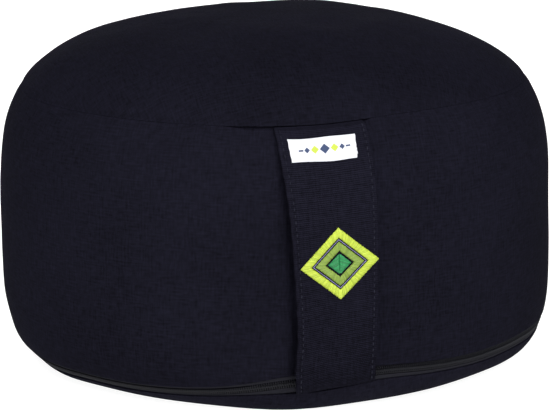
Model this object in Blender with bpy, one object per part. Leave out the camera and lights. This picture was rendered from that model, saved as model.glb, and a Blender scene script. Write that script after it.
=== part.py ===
"""Round meditation cushion: a filled drum of cloth with a carry strap, a zip and a sewn label.

Metres, +Z up. The origin is the middle of the flat patch that the cushion rests on, and -Y
points at the carry strap. Angles run from -Y towards +X, so they grow to the right for
someone who faces the strap.

Every piece is measured from one bare form. A place on that form is an angle, a distance down
the cloth from the crown's middle, and a lift off the form along its normal.
"""

import math

import bmesh
import bpy
import numpy as np

MM = 0.001

# The bare form: a rounded drum, wider at its waist than at its seams. Each half is a curve
# whose powers, above 2, say how much boxier than an ellipse it is: outwards and up or down.
WAIST_RADIUS = 165.0 * MM
WAIST_HEIGHT = 94.3 * MM
CROWN_RISE = 112.2 * MM  # from the waist up to the crown's middle
CROWN_POWERS = (2.47, 3.77)
UNDER_RISE = 106.2 * MM  # from the waist down to where the curve would close, under the floor
UNDER_POWERS = (2.24, 8.08)
SLANT_TOWARDS = math.radians(78)  # the filling has settled unevenly, and fills this side more
CROWN_SLANT = -0.32  # what the outward powers gain on that side, which makes it rounder
UNDER_SLANT = -0.28
CROWN_LEAN = 3.3 * MM  # how much higher its shoulder is
LOBES = (  # swellings round the waist: how many, how far they stand out, and where
    {"count": 2, "height": 0.33 * MM, "angle": math.radians(15.5)},
    {"count": 3, "height": 0.6 * MM, "angle": math.radians(-8.5)},
    {"count": 7, "height": 0.25 * MM, "angle": math.radians(20)},
)

# The seams, as heights above the floor. Both step up where they pass the strap.
TOP_SEAM = {"height": 168.6 * MM, "step": 2.1 * MM, "sharp": 5.0, "angle": math.radians(5)}
TOP_SEAM_SAG = 2.4 * MM  # how far the top seam sinks towards the cushion's sides
ZIP_SEAM = {"height": 16.4 * MM, "step": 6.6 * MM, "sharp": 3.0, "angle": math.radians(-17)}
ZIP_PULLED_UP = {"size": 2.6 * MM, "angle": math.radians(8), "spread": math.radians(12)}
ZIP_PULLED_WIDE = {"size": 1.6 * MM, "angle": math.radians(-9), "spread": math.radians(7)}
PINCH_DEPTH = 1.0 * MM  # how far a seam draws the cloth in
PINCH_REACH = 3.5 * MM
TUCK_DEPTH = 0.5 * MM  # the wider, shallow hollow that goes with it
TUCK_REACH = 13.0 * MM

# Cloth, and the gap that is kept between neighbouring pieces.
PANEL = 1.5 * MM
GAP = 0.3 * MM

# The zip, from edge to edge of what shows.
ZIP_HALF = 4.5 * MM
ZIP_MIDDLE = math.radians(-11.25)
ZIP_COLUMNS = 42  # of the form's columns, so that the zip's facets match the form's
ZIP_CLOSES = 1.5  # columns past each end, where the seam draws shut
ZIP_FLOOR = 2.8 * MM  # the filled solid's depth below the form, under the zip
COIL_HALF = 2.7 * MM
COIL_TOP = 0.5 * MM  # depth of the coil's crown below the form
TAPE_TOP = 1.5 * MM
SLIDER_FROM_END = 1.5  # columns
SLIDER_LENGTH = 9.0 * MM
SLIDER_WIDTH = 7.4 * MM
SLIDER_THICK = 1.6 * MM
SLIDER_ROUND = 0.6 * MM
SLIDER_AIM = math.radians(1)  # the run of the zip that its direction is read from
BRIDGE_RADIUS = 0.6 * MM
BRIDGE_SPAN = 5.4 * MM
BRIDGE_RISE = 2.8 * MM
BRIDGE_SUNK = 0.5 * MM
BRIDGE_FACETS = 8  # along its arch, and round its wire
PULL_START = -0.65 * MM  # along the zip, from the slider's middle
PULL_LENGTH = 19.0 * MM
PULL_WIDTH = 5.0 * MM
PULL_THICK = 1.1 * MM
PULL_EYE = (0.65 * MM, 3.7 * MM)

# The carry strap, a band of doubled cloth from the top seam to the seam under the zip.
STRAP_THICK = 2.4 * MM
STRAP_END_THICK = 1.2 * MM  # where a seam presses it flat
STRAP_SINK = 1.5 * MM  # how deep its ends are tucked below the form
STRAP_TUCK = {"top": 8.0 * MM, "foot": 2.0 * MM}  # the run over which they sink
STRAP_ROWS = (  # down its length: its middle's angle, half its width, its stand-off, its left curl
    {"down": 0.00, "angle": math.radians(-3.0), "half": 25.6 * MM, "off": 0.0, "curl": 0.0},
    {"down": 0.08, "angle": math.radians(-2.4), "half": 24.9 * MM, "off": 1.5 * MM, "curl": 0.2 * MM},
    {"down": 0.27, "angle": math.radians(-1.2), "half": 23.8 * MM, "off": 4.4 * MM, "curl": 0.8 * MM},
    {"down": 0.50, "angle": math.radians(-0.6), "half": 23.0 * MM, "off": 5.8 * MM, "curl": 1.5 * MM},
    {"down": 0.78, "angle": math.radians(-0.2), "half": 22.2 * MM, "off": 5.4 * MM, "curl": 2.4 * MM},
    {"down": 0.93, "angle": math.radians(0.1), "half": 22.2 * MM, "off": 2.7 * MM, "curl": 2.8 * MM},
    {"down": 1.00, "angle": math.radians(0.6), "half": 22.7 * MM, "off": 0.0, "curl": 0.0},
)
STRAP_BED = (math.radians(-17), math.radians(11.5))  # the side is let in here for its top end
STRAP_BED_FADE = math.radians(6)

# The label, on the strap just under the top seam.
LABEL_WIDTH = 38.2 * MM
LABEL_HEIGHT = 14.4 * MM
LABEL_THICK = 0.8 * MM
LABEL_DOWN = 15.0 * MM  # from the strap's top end to the label's middle
LABEL_ASIDE = -0.6 * MM
LABEL_TURN = math.radians(1.2)

# Facets. Shares are places between one edge of a panel and the other.
COLUMNS = 64
CAP_RADIUS = 6.0 * MM
SAMPLES = 240  # points down each half of the form that distances are read from
BASE_SAMPLES = 60  # and across the flat patch under it
CROWN_SHARES = (0, 0.22, 0.43, 0.6, 0.73, 0.83, 0.9, 0.95, 0.98, 1)
SIDE_SHARES = (0, 0.018, 0.045, 0.09, 0.16, 0.26, 0.38, 0.51, 0.64, 0.75, 0.84, 0.92, 1)
UNDER_SHARES = (0, 0.3, 0.65, 1)
BASE_SHARES = (0.5, 1)
STRAP_SHARES = (0, 0.015, 0.035, 0.06, *(0.1 + 0.065 * i for i in range(13)), 0.93, 0.965, 0.985, 0.993, 1)
STRAP_FACETS = 8
LABEL_FACETS = (8, 4)
SHARP_FROM = math.radians(35)  # edges that bend more than this are shaded sharp

CLOTH = {"colour": (0.0105, 0.0103, 0.0175), "rough": 0.9, "metal": 0.0}
TAPE_CLOTH = {"colour": (0.014, 0.014, 0.017), "rough": 0.8, "metal": 0.0}
COIL_NYLON = {"colour": (0.022, 0.022, 0.025), "rough": 0.45, "metal": 0.0}
SLIDER_METAL = {"colour": (0.03, 0.03, 0.033), "rough": 0.35, "metal": 1.0}
LABEL_CLOTH = {"colour": (0.82, 0.83, 0.86), "rough": 0.7, "metal": 0.0}


def ease(share):
    """Runs smoothly from 0 to 1, and stays at each outside."""
    share = min(max(share, 0.0), 1.0)
    return share * share * (3 - 2 * share)


def wrapped(angle):
    """The same direction as an angle between half a turn to the left and half a turn to the right."""
    return (angle + math.pi) % math.tau - math.pi


def swell(bump, angle):
    """The size at that angle of something that is largest at its own angle."""
    return bump["size"] * math.exp(-((wrapped(angle - bump["angle"]) / bump["spread"]) ** 2))


def seam_height(seam, angle):
    """The height of a seam that steps between a low side and a high side of the cushion."""
    return seam["height"] + seam["step"] * math.tanh(seam["sharp"] * math.sin(angle - seam["angle"]))


def column_angle(count):
    """The angle that a number of the form's columns spans."""
    return count * math.tau / COLUMNS


def zip_shut(angle):
    """0 along the zip and 1 where the seam is plain."""
    away = abs(wrapped(angle - ZIP_MIDDLE))
    return min(max((away / column_angle(1) - ZIP_COLUMNS / 2) / ZIP_CLOSES, 0.0), 1.0)


def half_curve(powers, turn, reach, rise):
    """Points on a quarter of a boxy ellipse, as distances out and along its rise."""
    return reach * np.cos(turn).clip(0) ** (2 / powers[0]), rise * np.sin(turn) ** (2 / powers[1])


class Form:
    """The bare form at one angle: points down the cloth, with their distances and normals."""

    def __init__(self, angle):
        self.angle = wrapped(angle)
        slant = math.cos(angle - SLANT_TOWARDS)
        reach = WAIST_RADIUS + sum(
            lobe["height"] * math.cos(lobe["count"] * (angle - lobe["angle"])) for lobe in LOBES
        )
        over = (CROWN_POWERS[0] + CROWN_SLANT * slant, CROWN_POWERS[1])
        under = (UNDER_POWERS[0] + UNDER_SLANT * slant, UNDER_POWERS[1])
        last = math.asin((WAIST_HEIGHT / UNDER_RISE) ** (under[1] / 2))
        crown_r, crown_z = half_curve(over, np.linspace(math.pi / 2, 0, SAMPLES), reach, CROWN_RISE)
        side_r, side_z = half_curve(under, np.linspace(0, last, SAMPLES)[1:], reach, UNDER_RISE)
        base_r = np.linspace(side_r[-1], 0, BASE_SAMPLES)[1:]
        self.r = np.concatenate([crown_r, side_r, base_r])
        self.z = np.concatenate([WAIST_HEIGHT + crown_z, WAIST_HEIGHT - side_z, 0 * base_r])
        self.z[2 * SAMPLES - 2 :] = 0.0
        up = self.z / (WAIST_HEIGHT + CROWN_RISE)
        self.z += CROWN_LEAN * slant * self.r / reach * up**2
        self.down = np.concatenate([[0.0], np.cumsum(np.hypot(np.diff(self.r), np.diff(self.z)))])
        along_r, along_z = np.gradient(self.r, self.down), np.gradient(self.z, self.down)
        size = np.hypot(along_r, along_z)
        self.out_r, self.out_z = -along_z / size, along_r / size
        self.out_r[self.z <= 0], self.out_z[self.z <= 0] = 0.0, -1.0
        self.floor_edge = self.down[2 * SAMPLES - 2]
        self.base_middle = self.down[-1]
        top = seam_height(TOP_SEAM, angle) - TOP_SEAM_SAG * (1 - math.cos(angle))
        self.top_seam = self.down_at(top, 0, SAMPLES)
        middle = seam_height(ZIP_SEAM, angle) + swell(ZIP_PULLED_UP, angle)
        self.zip_seam = self.down_at(middle, SAMPLES - 1, 2 * SAMPLES - 1)
        self.shut = zip_shut(angle)
        upper = ZIP_HALF + swell(ZIP_PULLED_WIDE, angle)
        self.zip_upper = self.zip_seam - (upper + (GAP / 2 - upper) * self.shut)
        self.zip_lower = self.zip_seam + ZIP_HALF + (GAP / 2 - ZIP_HALF) * self.shut

    def down_at(self, height, first, last):
        """The distance down at which the cloth passes a height, between two of its points."""
        return float(np.interp(-height, -self.z[first:last], self.down[first:last]))

    def pinch(self, down):
        """How far the seams draw the cloth in there."""
        pinches = (PINCH_DEPTH, PINCH_REACH), (TUCK_DEPTH, TUCK_REACH)
        from_top = sum(deep * math.exp(-(((down - self.top_seam) / far) ** 2)) for deep, far in pinches)
        from_zip = sum(deep * math.exp(-(((down - self.zip_seam) / far) ** 2)) for deep, far in pinches)
        return from_top + from_zip * self.shut

    def strap_bed(self, down):
        """How far the side panel is let in for the strap's top end."""
        left, right = STRAP_BED
        outside = max(left - self.angle, self.angle - right, 0.0)
        deep = STRAP_SINK * (1 - ease(outside / STRAP_BED_FADE))
        return deep * math.exp(-(((down - self.top_seam) / STRAP_TUCK["top"]) ** 2))

    def at(self, down, lift=0.0):
        """The point that far down the cloth, lifted off the drawn-in form."""
        lift = lift - self.pinch(down)
        radius = np.interp(down, self.down, self.r) + lift * np.interp(down, self.down, self.out_r)
        height = np.interp(down, self.down, self.z) + lift * np.interp(down, self.down, self.out_z)
        return (radius * math.sin(self.angle), -radius * math.cos(self.angle), height)


def finish(name, look):
    """A Principled material with one colour, roughness and metallic value."""
    material = bpy.data.materials.new(name)
    material.use_nodes = True
    shader = material.node_tree.nodes["Principled BSDF"]
    shader.inputs["Base Color"].default_value = (*look["colour"], 1)
    shader.inputs["Roughness"].default_value = look["rough"]
    shader.inputs["Metallic"].default_value = look["metal"]
    return material


def add_object(name, bm, look):
    """Turns bm into an object with its own material, shaded smooth up to its sharp edges."""
    if bm.calc_volume(signed=True) < 0:
        bmesh.ops.reverse_faces(bm, faces=bm.faces)
    mesh = bpy.data.meshes.new(name)
    bm.to_mesh(mesh)
    bm.free()
    mesh.shade_smooth()
    mesh.set_sharp_from_angle(angle=SHARP_FROM)
    mesh.materials.append(finish(name, look))
    made = bpy.data.objects.new(name, mesh)
    bpy.context.scene.collection.objects.link(made)
    return made


def loft(name, loops, look):
    """A closed solid through loops of points that match one to one, with both ends filled."""
    bm = bmesh.new()
    rings = [[bm.verts.new(point) for point in loop] for loop in loops]
    for ring, following in zip(rings, rings[1:]):
        for i, corner in enumerate(ring):
            j = (i + 1) % len(ring)
            bm.faces.new((corner, ring[j], following[j], following[i]))
    bm.faces.new(rings[0][::-1])
    bm.faces.new(rings[-1])
    return add_object(name, bm, look)


def rings_between(forms, first, last, shares, lift):
    """Loops round the whole cushion. first and last give a distance down for a form."""
    return [
        [form.at(first(form) + (last(form) - first(form)) * share, lift) for form in forms]
        for share in shares
    ]


def crown_rings(forms, lift):
    """Loops from the crown's middle out to the top panel's rim."""
    return rings_between(
        forms, lambda form: CAP_RADIUS, lambda form: form.top_seam - GAP / 2, CROWN_SHARES, lift
    )


def under_rings(forms, lift):
    """Loops from the under panel's rim to the middle of the base."""
    curved = rings_between(
        forms, lambda form: form.zip_lower + GAP / 2, lambda form: form.floor_edge, UNDER_SHARES, lift
    )
    flat = rings_between(
        forms,
        lambda form: form.floor_edge,
        lambda form: form.base_middle - CAP_RADIUS,
        BASE_SHARES,
        lift,
    )
    return curved + flat


def side_ring(forms, share):
    """A loop round the side panel, let in where the strap's top end is sewn."""
    loop = []
    for form in forms:
        first = form.top_seam + GAP / 2
        down = first + (form.zip_upper - first) * share
        loop.append(form.at(down, -form.strap_bed(down)))
    return loop


def make_filled_side(forms):
    """The filled solid: its side panel shows, and the top and under panels lie on its ends."""
    bed = -(PANEL + GAP)
    rings = crown_rings(forms, bed)
    rings.append([form.at(form.top_seam + GAP / 2, bed) for form in forms])
    rings += [side_ring(forms, share) for share in SIDE_SHARES]
    rings.append([form.at(form.zip_upper, -ZIP_FLOOR) for form in forms])
    rings.append([form.at(form.zip_lower, -ZIP_FLOOR) for form in forms])
    rings += under_rings(forms, bed)
    loft("filled_side", rings, CLOTH)


def make_top_panel(forms):
    """The crowned disc of cloth above the top seam."""
    loft("top_panel", crown_rings(forms, 0.0) + crown_rings(forms, -PANEL)[::-1], CLOTH)


def make_under_panel(forms):
    """The disc of cloth that the cushion rests on, rounded up to the seam under the zip."""
    loft("under_panel", under_rings(forms, 0.0)[::-1] + under_rings(forms, -PANEL), CLOTH)


def make_zip_strip(name, top, first, last, look):
    """One strip along the zip, between two distances down and from the zip's floor to a depth."""
    foot = GAP - ZIP_FLOOR
    start = ZIP_MIDDLE - column_angle(ZIP_COLUMNS / 2)
    loops = []
    for i in range(ZIP_COLUMNS + 1):
        form = Form(start + column_angle(i))
        edges = first(form), last(form)
        upper, lower = ([form.at(down, lift) for down in edges] for lift in (-top, foot))
        loops.append(upper + lower[::-1])
    loft(name, loops, look)


def make_zip():
    """Two tapes and the coil between them, let into the seam."""
    make_zip_strip(
        "zip_tape_upper",
        TAPE_TOP,
        lambda form: form.zip_upper + GAP,
        lambda form: form.zip_seam - COIL_HALF - GAP,
        TAPE_CLOTH,
    )
    make_zip_strip(
        "zip_coil",
        COIL_TOP,
        lambda form: form.zip_seam - COIL_HALF,
        lambda form: form.zip_seam + COIL_HALF,
        COIL_NYLON,
    )
    make_zip_strip(
        "zip_tape_lower",
        TAPE_TOP,
        lambda form: form.zip_seam + COIL_HALF + GAP,
        lambda form: form.zip_lower - GAP,
        TAPE_CLOTH,
    )


class SliderFrame:
    """Where the slider sits: its middle on the form, and the ways along, across and off the zip."""

    def __init__(self):
        angle = ZIP_MIDDLE + column_angle(ZIP_COLUMNS / 2 - SLIDER_FROM_END)
        here, nearby = Form(angle), Form(angle - SLIDER_AIM)
        self.middle = np.array(here.at(here.zip_seam))
        along = self.middle - np.array(nearby.at(nearby.zip_seam))
        self.along = along / np.linalg.norm(along)
        off = np.array(here.at(here.zip_seam, 1.0)) - self.middle
        off -= self.along * (off @ self.along)
        self.off = off / np.linalg.norm(off)
        self.across = np.cross(self.off, self.along)

    def point(self, along, across, off):
        """A point that far from the middle in each of the three ways."""
        return self.middle + self.along * along + self.across * across + self.off * off

    def box(self, name, low, high, look):
        """A box between two corners that are given as along, across and off."""
        bm = bmesh.new()
        for vert in bmesh.ops.create_cube(bm, size=1.0)["verts"]:
            vert.co = self.point(*(lo + (hi - lo) * (c + 0.5) for lo, hi, c in zip(low, high, vert.co)))
        return add_object(name, bm, look)


def combine(piece, operation, helper):
    """Joins a helper to a piece or cuts it out, and hides the helper."""
    helper.hide_render = True
    helper.display_type = "WIRE"
    modifier = piece.modifiers.new(helper.name, "BOOLEAN")
    modifier.operation = operation
    modifier.object = helper


def make_bridge(frame, foot):
    """The arched wire over the slider's plate, as a helper to be joined to it."""
    loops = []
    for turn in (math.pi * i / BRIDGE_FACETS for i in range(BRIDGE_FACETS + 1)):
        along = BRIDGE_SPAN / 2 * math.cos(turn)
        off = foot - BRIDGE_SUNK + BRIDGE_RISE * math.sin(turn)
        loop = []
        for around in (math.tau * k / BRIDGE_FACETS for k in range(BRIDGE_FACETS)):
            out = BRIDGE_RADIUS * math.cos(around)
            across = BRIDGE_RADIUS * math.sin(around)
            loop.append(frame.point(along + out * math.cos(turn), across, off + out * math.sin(turn)))
        loops.append(loop)
    return loft("bridge_to_join", loops, SLIDER_METAL)


def make_slider():
    """The slider's plate with its bridge, and the pull that the bridge holds."""
    frame = SliderFrame()
    foot = GAP - COIL_TOP
    top = foot + SLIDER_THICK
    half = (SLIDER_LENGTH / 2, SLIDER_WIDTH / 2)
    slider = frame.box("zip_slider", (-half[0], -half[1], foot), (*half, top), SLIDER_METAL)
    rounding = slider.modifiers.new("rounding", "BEVEL")
    rounding.width = SLIDER_ROUND
    rounding.segments = 2
    combine(slider, "UNION", make_bridge(frame, top))

    under = top + GAP
    over = under + PULL_THICK
    pull = frame.box(
        "zip_pull",
        (PULL_START, -PULL_WIDTH / 2, under),
        (PULL_START + PULL_LENGTH, PULL_WIDTH / 2, over),
        SLIDER_METAL,
    )
    half_eye = BRIDGE_RADIUS + GAP
    eye = frame.box(
        "eye_to_cut",
        (PULL_EYE[0], -half_eye, under - PULL_THICK),
        (PULL_EYE[1], half_eye, over + PULL_THICK),
        SLIDER_METAL,
    )
    combine(pull, "DIFFERENCE", eye)


def strap_row(down):
    """The strap's angle, half width, stand-off and curl at a share of its length."""
    at = [row["down"] for row in STRAP_ROWS]
    found = []
    for key in ("angle", "half", "off", "curl"):
        values = [row[key] for row in STRAP_ROWS]
        slopes = np.gradient(values, at)
        i = min(int(np.searchsorted(at, down, "right")) - 1, len(at) - 2)
        span = at[i + 1] - at[i]
        t = (down - at[i]) / span
        start, end = values[i], values[i + 1]
        bend = (1 - t) * (slopes[i] * span - end + start) - t * (slopes[i + 1] * span - end + start)
        found.append(start + (end - start) * t + t * (1 - t) * bend)
    return found


def strap_point(down, aside, lift):
    """A point of the strap: a share of its length, a distance to the right, a lift off its back."""
    angle, half, off, curl = strap_row(down)
    form = Form(angle + aside / WAIST_RADIUS)
    first = form.top_seam + GAP / 2 + GAP
    last = form.zip_lower - GAP
    length = last - first
    tucked = (1 - ease(down * length / STRAP_TUCK["top"])) + (
        1 - ease((1 - down) * length / STRAP_TUCK["foot"])
    )
    flat = aside**2 / (2 * WAIST_RADIUS) * math.sin(math.pi * down)
    left = max(-aside / half, 0.0)
    back = GAP + max(off, 0.0) + flat + curl * left**2 - STRAP_SINK * tucked
    thick = STRAP_THICK + (STRAP_END_THICK - STRAP_THICK) * tucked
    return form.at(first + length * down, back + thick * lift)


def strap_loop(down):
    """The strap's section at a share of its length."""
    half = strap_row(down)[1]
    across = [half * (2 * i / STRAP_FACETS - 1) for i in range(STRAP_FACETS + 1)]
    outer = [strap_point(down, aside, 1.0) for aside in across]
    inner = [strap_point(down, aside, 0.0) for aside in across]
    return outer + inner[::-1]


def make_strap():
    """The carry strap, standing off the side enough for fingers."""
    loft("carry_strap", [strap_loop(down) for down in STRAP_SHARES], CLOTH)


def label_point(aside, below, lift):
    """A point of the label, from its middle: to the right, downwards and off the strap."""
    turned = aside * math.cos(LABEL_TURN) - below * math.sin(LABEL_TURN)
    lower = below * math.cos(LABEL_TURN) - aside * math.sin(LABEL_TURN)
    form = Form(0.0)
    down = (LABEL_DOWN + lower) / (form.zip_lower - form.top_seam)
    return strap_point(down, LABEL_ASIDE + turned, 1.0 + lift / STRAP_THICK)


def make_label():
    """The woven label, sewn flat to the strap."""
    columns, rows = LABEL_FACETS
    across = [LABEL_WIDTH * (i / columns - 0.5) for i in range(columns + 1)]
    loops = []
    for below in (LABEL_HEIGHT * (i / rows - 0.5) for i in range(rows + 1)):
        outer = [label_point(aside, below, GAP + LABEL_THICK) for aside in across]
        inner = [label_point(aside, below, GAP) for aside in across]
        loops.append(outer + inner[::-1])
    loft("label", loops, LABEL_CLOTH)


def main():
    for thing in list(bpy.data.objects):
        bpy.data.objects.remove(thing)
    forms = [Form(ZIP_MIDDLE + column_angle(i)) for i in range(COLUMNS)]
    make_filled_side(forms)
    make_top_panel(forms)
    make_under_panel(forms)
    make_zip()
    make_slider()
    make_strap()
    make_label()


main()
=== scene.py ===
"""The looks of a round meditation cushion: its cloth, seams, strap, label, embroidery and zip.

Metres, +Z up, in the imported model's own frame: the origin is the middle of the flat patch that
the cushion rests on, and -Y points at the carry strap. Angles run from -Y towards +X.

Every piece is measured from one bare form. A place on it is an angle, a distance down the cloth
from the crown's middle, and a lift off the form along its normal.
"""

import logging
import math
from dataclasses import dataclass, field
from enum import Enum

import bpy
import numpy as np
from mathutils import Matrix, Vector, noise


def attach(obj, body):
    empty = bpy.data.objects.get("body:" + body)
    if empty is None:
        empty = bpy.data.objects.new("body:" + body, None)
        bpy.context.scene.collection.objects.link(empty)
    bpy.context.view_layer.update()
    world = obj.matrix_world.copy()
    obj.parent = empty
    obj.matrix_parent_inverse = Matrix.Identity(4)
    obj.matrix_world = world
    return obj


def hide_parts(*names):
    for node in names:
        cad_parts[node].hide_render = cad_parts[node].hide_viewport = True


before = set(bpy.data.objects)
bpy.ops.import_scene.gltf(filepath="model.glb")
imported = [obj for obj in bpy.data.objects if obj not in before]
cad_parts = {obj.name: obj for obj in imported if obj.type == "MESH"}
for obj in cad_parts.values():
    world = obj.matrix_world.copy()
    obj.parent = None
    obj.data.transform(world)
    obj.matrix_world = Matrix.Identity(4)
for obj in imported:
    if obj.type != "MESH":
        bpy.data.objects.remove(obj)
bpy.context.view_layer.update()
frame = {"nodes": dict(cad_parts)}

log = logging.getLogger("cushion")

MM = 0.001
DEGREE = math.radians(1)
GAP = 0.3 * MM  # kept between neighbouring pieces
SHARP = 50 * DEGREE  # edges that bend more than this are shaded sharp
UPWARDS = np.array([0.0, 0.0, 1.0])
SCATTER = (12.9898, 78.233, 43758.5453)  # factors without a common measure, the last one large
BODY = "root"

Array = np.ndarray
Piece = bpy.types.Object
Pair = tuple[float, float]
Triple = tuple[float, float, float]
Colour = Triple


# ---- numbers


def ease(share: Array) -> Array:
    """Runs smoothly from 0 to 1, and stays at each outside."""
    share = np.clip(share, 0.0, 1.0)
    return share * share * (3 - 2 * share)


def bell(away: Array, spread: Array | float) -> Array:
    """1 where that is 0, fading to both sides."""
    return np.exp(-((away / spread) ** 2))


def wrapped(angle: Array) -> Array:
    """The same direction, as an angle within half a turn of zero."""
    return (angle + math.pi) % math.tau - math.pi


def crowded(count: int) -> Array:
    """Shares from 0 to 1 that lie closer together towards both ends."""
    return 0.5 - 0.5 * np.cos(np.linspace(0, math.pi, count))


def chance(count: int, seed: float) -> Array:
    """Repeatable values from -1 to 1, one for each of a row of things.

    Args:
        count: how many things there are.
        seed: a number that tells one row from another.

    Returns:
        One value for each thing.
    """
    per_thing, per_seed, large = SCATTER
    spread = np.abs(np.sin(np.arange(count) * per_thing + seed * per_seed)) * large
    return 2 * np.modf(spread)[0] - 1


def unit(vectors: Array) -> Array:
    """The same directions with a length of one."""
    return vectors / np.linalg.norm(vectors, axis=-1, keepdims=True)


def boxy_round(count: int, power: float) -> tuple[Array, Array]:
    """Both coordinates of points round a circle, which a power below 1 makes boxier.

    Args:
        count: how many points.
        power: 1 for a circle, and less for a boxier round.

    Returns:
        Their two coordinates, from -1 to 1.
    """
    turn = np.linspace(0, math.tau, count + 1)[:-1]
    x, y = np.cos(turn), np.sin(turn)
    return np.sign(x) * np.abs(x) ** power, np.sign(y) * np.abs(y) ** power


# ---- meshes


@dataclass
class Draft:
    """A mesh in the making."""

    points: list[Array] = field(default_factory=list)  # blocks of points
    faces: list[list[int]] = field(default_factory=list)  # faces, as indices into all the points
    # A place on the flat cloth for each corner of each face, in metres.
    cloth: list[Array] = field(default_factory=list)
    # Blocks of one shade for each point, which a thread's finish reads.
    shades: list[Array] = field(default_factory=list)
    count: int = 0

    def sleeve(
        self, loops: Array, cloth: Array | None = None, shade: float = 0.0, ring: bool = False
    ) -> None:
        """Adds a closed surface through loops of points that match one to one.

        Args:
            loops: the points, as rows of loops, (rows, columns, 3).
            cloth: the place on the flat cloth of each point, (rows, columns + 1, 2), where the
                last column is the first one again after one time round.
            shade: the shade of all its points.
            ring: True joins the last loop to the first. Otherwise both ends are filled.
        """
        rows, columns = loops.shape[:2]
        if cloth is None:
            cloth = np.zeros((rows, columns + 1, 2))
        row = np.arange(rows if ring else rows - 1)[:, None]
        column = np.arange(columns)[None, :]
        below, beside = (row + 1) % rows, (column + 1) % columns
        spots = [(row, column), (row, beside), (below, beside), (below, column)]
        quads = np.stack([r * columns + c for r, c in spots], axis=-1).reshape(-1, 4)
        flat_spots = [(row, column), (row, column + 1), (below, column + 1), (below, column)]
        flats = np.stack([cloth[r, c] for r, c in flat_spots], axis=-2).reshape(-1, 4, 2)
        places = loops.reshape(-1, 3)
        a, b, c, d = (places[quads[:, i]] for i in range(4))
        volume = (a * np.cross(b, c)).sum() + (a * np.cross(c, d)).sum()
        ends = [] if ring else [np.arange(columns)[::-1], (rows - 1) * columns + np.arange(columns)]
        for end in ends:
            first, second, third = places[end[0]], places[end[1:-1]], places[end[2:]]
            volume += (first * np.cross(second, third)).sum()
        turn = -1 if volume < 0 else 1
        self.faces += (quads[:, ::turn] + self.count).tolist()
        self.cloth.append(flats[:, ::turn].reshape(-1, 2))
        for end in ends:
            self.faces.append((end[::turn] + self.count).tolist())
            self.cloth.append(cloth[:, :-1].reshape(-1, 2)[end[::turn]])
        self.points.append(places)
        self.shades.append(np.full(len(places), shade))
        self.count += len(places)

    def ribbon(self, face: Array, back: Array, cloth: Array) -> None:
        """Adds a strip from its face, its back and the places on the flat cloth that both show."""
        loops = np.concatenate([face, back[:, ::-1]], axis=1)
        self.sleeve(loops, np.concatenate([cloth, cloth[:, ::-1], cloth[:, :1]], axis=1))

    def strand(
        self, path: Array, up: Array, radius: Array | float, sides: int = 6, shade: float = 0.0
    ) -> None:
        """Adds a round strand along a path. Its skin is laid out in turns round it and in metres.

        Args:
            path: the points that it follows, (count, 3).
            up: a direction for each point, or one for all, that isn't along the path.
            radius: the radius at each point, or one for all.
            sides: how many sides it has.
            shade: the shade of all its points.
        """
        along = unit(np.gradient(path, axis=0))
        across = unit(np.cross(along, up))
        lift = np.cross(across, along)
        turn = (np.arange(sides) * math.tau / sides)[None, :, None]
        radius = np.broadcast_to(radius, len(path))[:, None, None]
        loops = path[:, None] + radius * (np.cos(turn) * across[:, None] + np.sin(turn) * lift[:, None])
        steps = np.linalg.norm(np.diff(path, axis=0), axis=1)
        length = np.concatenate([[0.0], np.cumsum(steps)])
        around = np.linspace(0, 1, sides + 1)
        skin = np.stack(np.broadcast_arrays(around[None, :], length[:, None]), axis=-1)
        self.sleeve(loops, skin, shade)

    def build(self, name: str, finish: "Finish", sharp: float | None = None) -> Piece:
        """Makes the piece, dressed and shaded smooth.

        Args:
            name: its name.
            finish: what it is made of.
            sharp: edges that bend more than this are shaded sharp, in radians.

        Returns:
            The object, in the scene.
        """
        mesh = bpy.data.meshes.new(name)
        mesh.from_pydata(np.concatenate(self.points), [], self.faces)
        flat = mesh.uv_layers.new(name="cloth")
        flat.data.foreach_set("uv", np.concatenate(self.cloth).astype(np.float32).ravel())
        shade = mesh.attributes.new("shade", "FLOAT", "POINT")
        shade.data.foreach_set("value", np.concatenate(self.shades).astype(np.float32))
        mesh.shade_smooth()
        if sharp is not None:
            mesh.set_sharp_from_angle(angle=sharp)
        mesh.materials.append(finish.material())
        made = bpy.data.objects.new(name, mesh)
        bpy.context.scene.collection.objects.link(made)
        return made


# ---- shaders


class Value:
    """A number that varies over a surface. Arithmetic on it adds Math nodes."""

    def __init__(self, shader: "Shader", socket: bpy.types.NodeSocket) -> None:
        """Wraps one output of one of the shader's nodes."""
        self.shader = shader
        self.socket = socket

    def math(self, operation: str, *others: "Value | float") -> "Value":
        """The result of a Math node on this value and the others."""
        return self.shader.node("ShaderNodeMath", {"operation": operation}, dict(enumerate((self, *others))))

    def __add__(self, other: "Value | float") -> "Value":
        """This plus the other."""
        return self.math("ADD", other)

    __radd__ = __add__

    def __mul__(self, other: "Value | float") -> "Value":
        """This times the other."""
        return self.math("MULTIPLY", other)

    __rmul__ = __mul__

    def __sub__(self, other: "Value | float") -> "Value":
        """This less the other."""
        return self.math("SUBTRACT", other)

    def __rsub__(self, other: float) -> "Value":
        """A number less this."""
        return self.shader.node("ShaderNodeMath", {"operation": "SUBTRACT"}, {0: other, 1: self})

    def __lt__(self, other: "Value | float") -> "Value":
        """1 where this is less than the other, and 0 elsewhere."""
        return self.math("LESS_THAN", other)

    def __abs__(self) -> "Value":
        """This without its sign."""
        return self.math("ABSOLUTE")

    def cosine(self) -> "Value":
        """The cosine of this, in radians."""
        return self.math("COSINE")

    def larger(self, other: "Value | float") -> "Value":
        """The larger of the two."""
        return self.math("MAXIMUM", other)

    def part_of(self, low: float, high: float) -> "Value":
        """How far this is from low to high, from 0 to 1."""
        settings = {"clamp": True}
        return self.shader.node("ShaderNodeMapRange", settings, {0: self, 1: low, 2: high})


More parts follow.
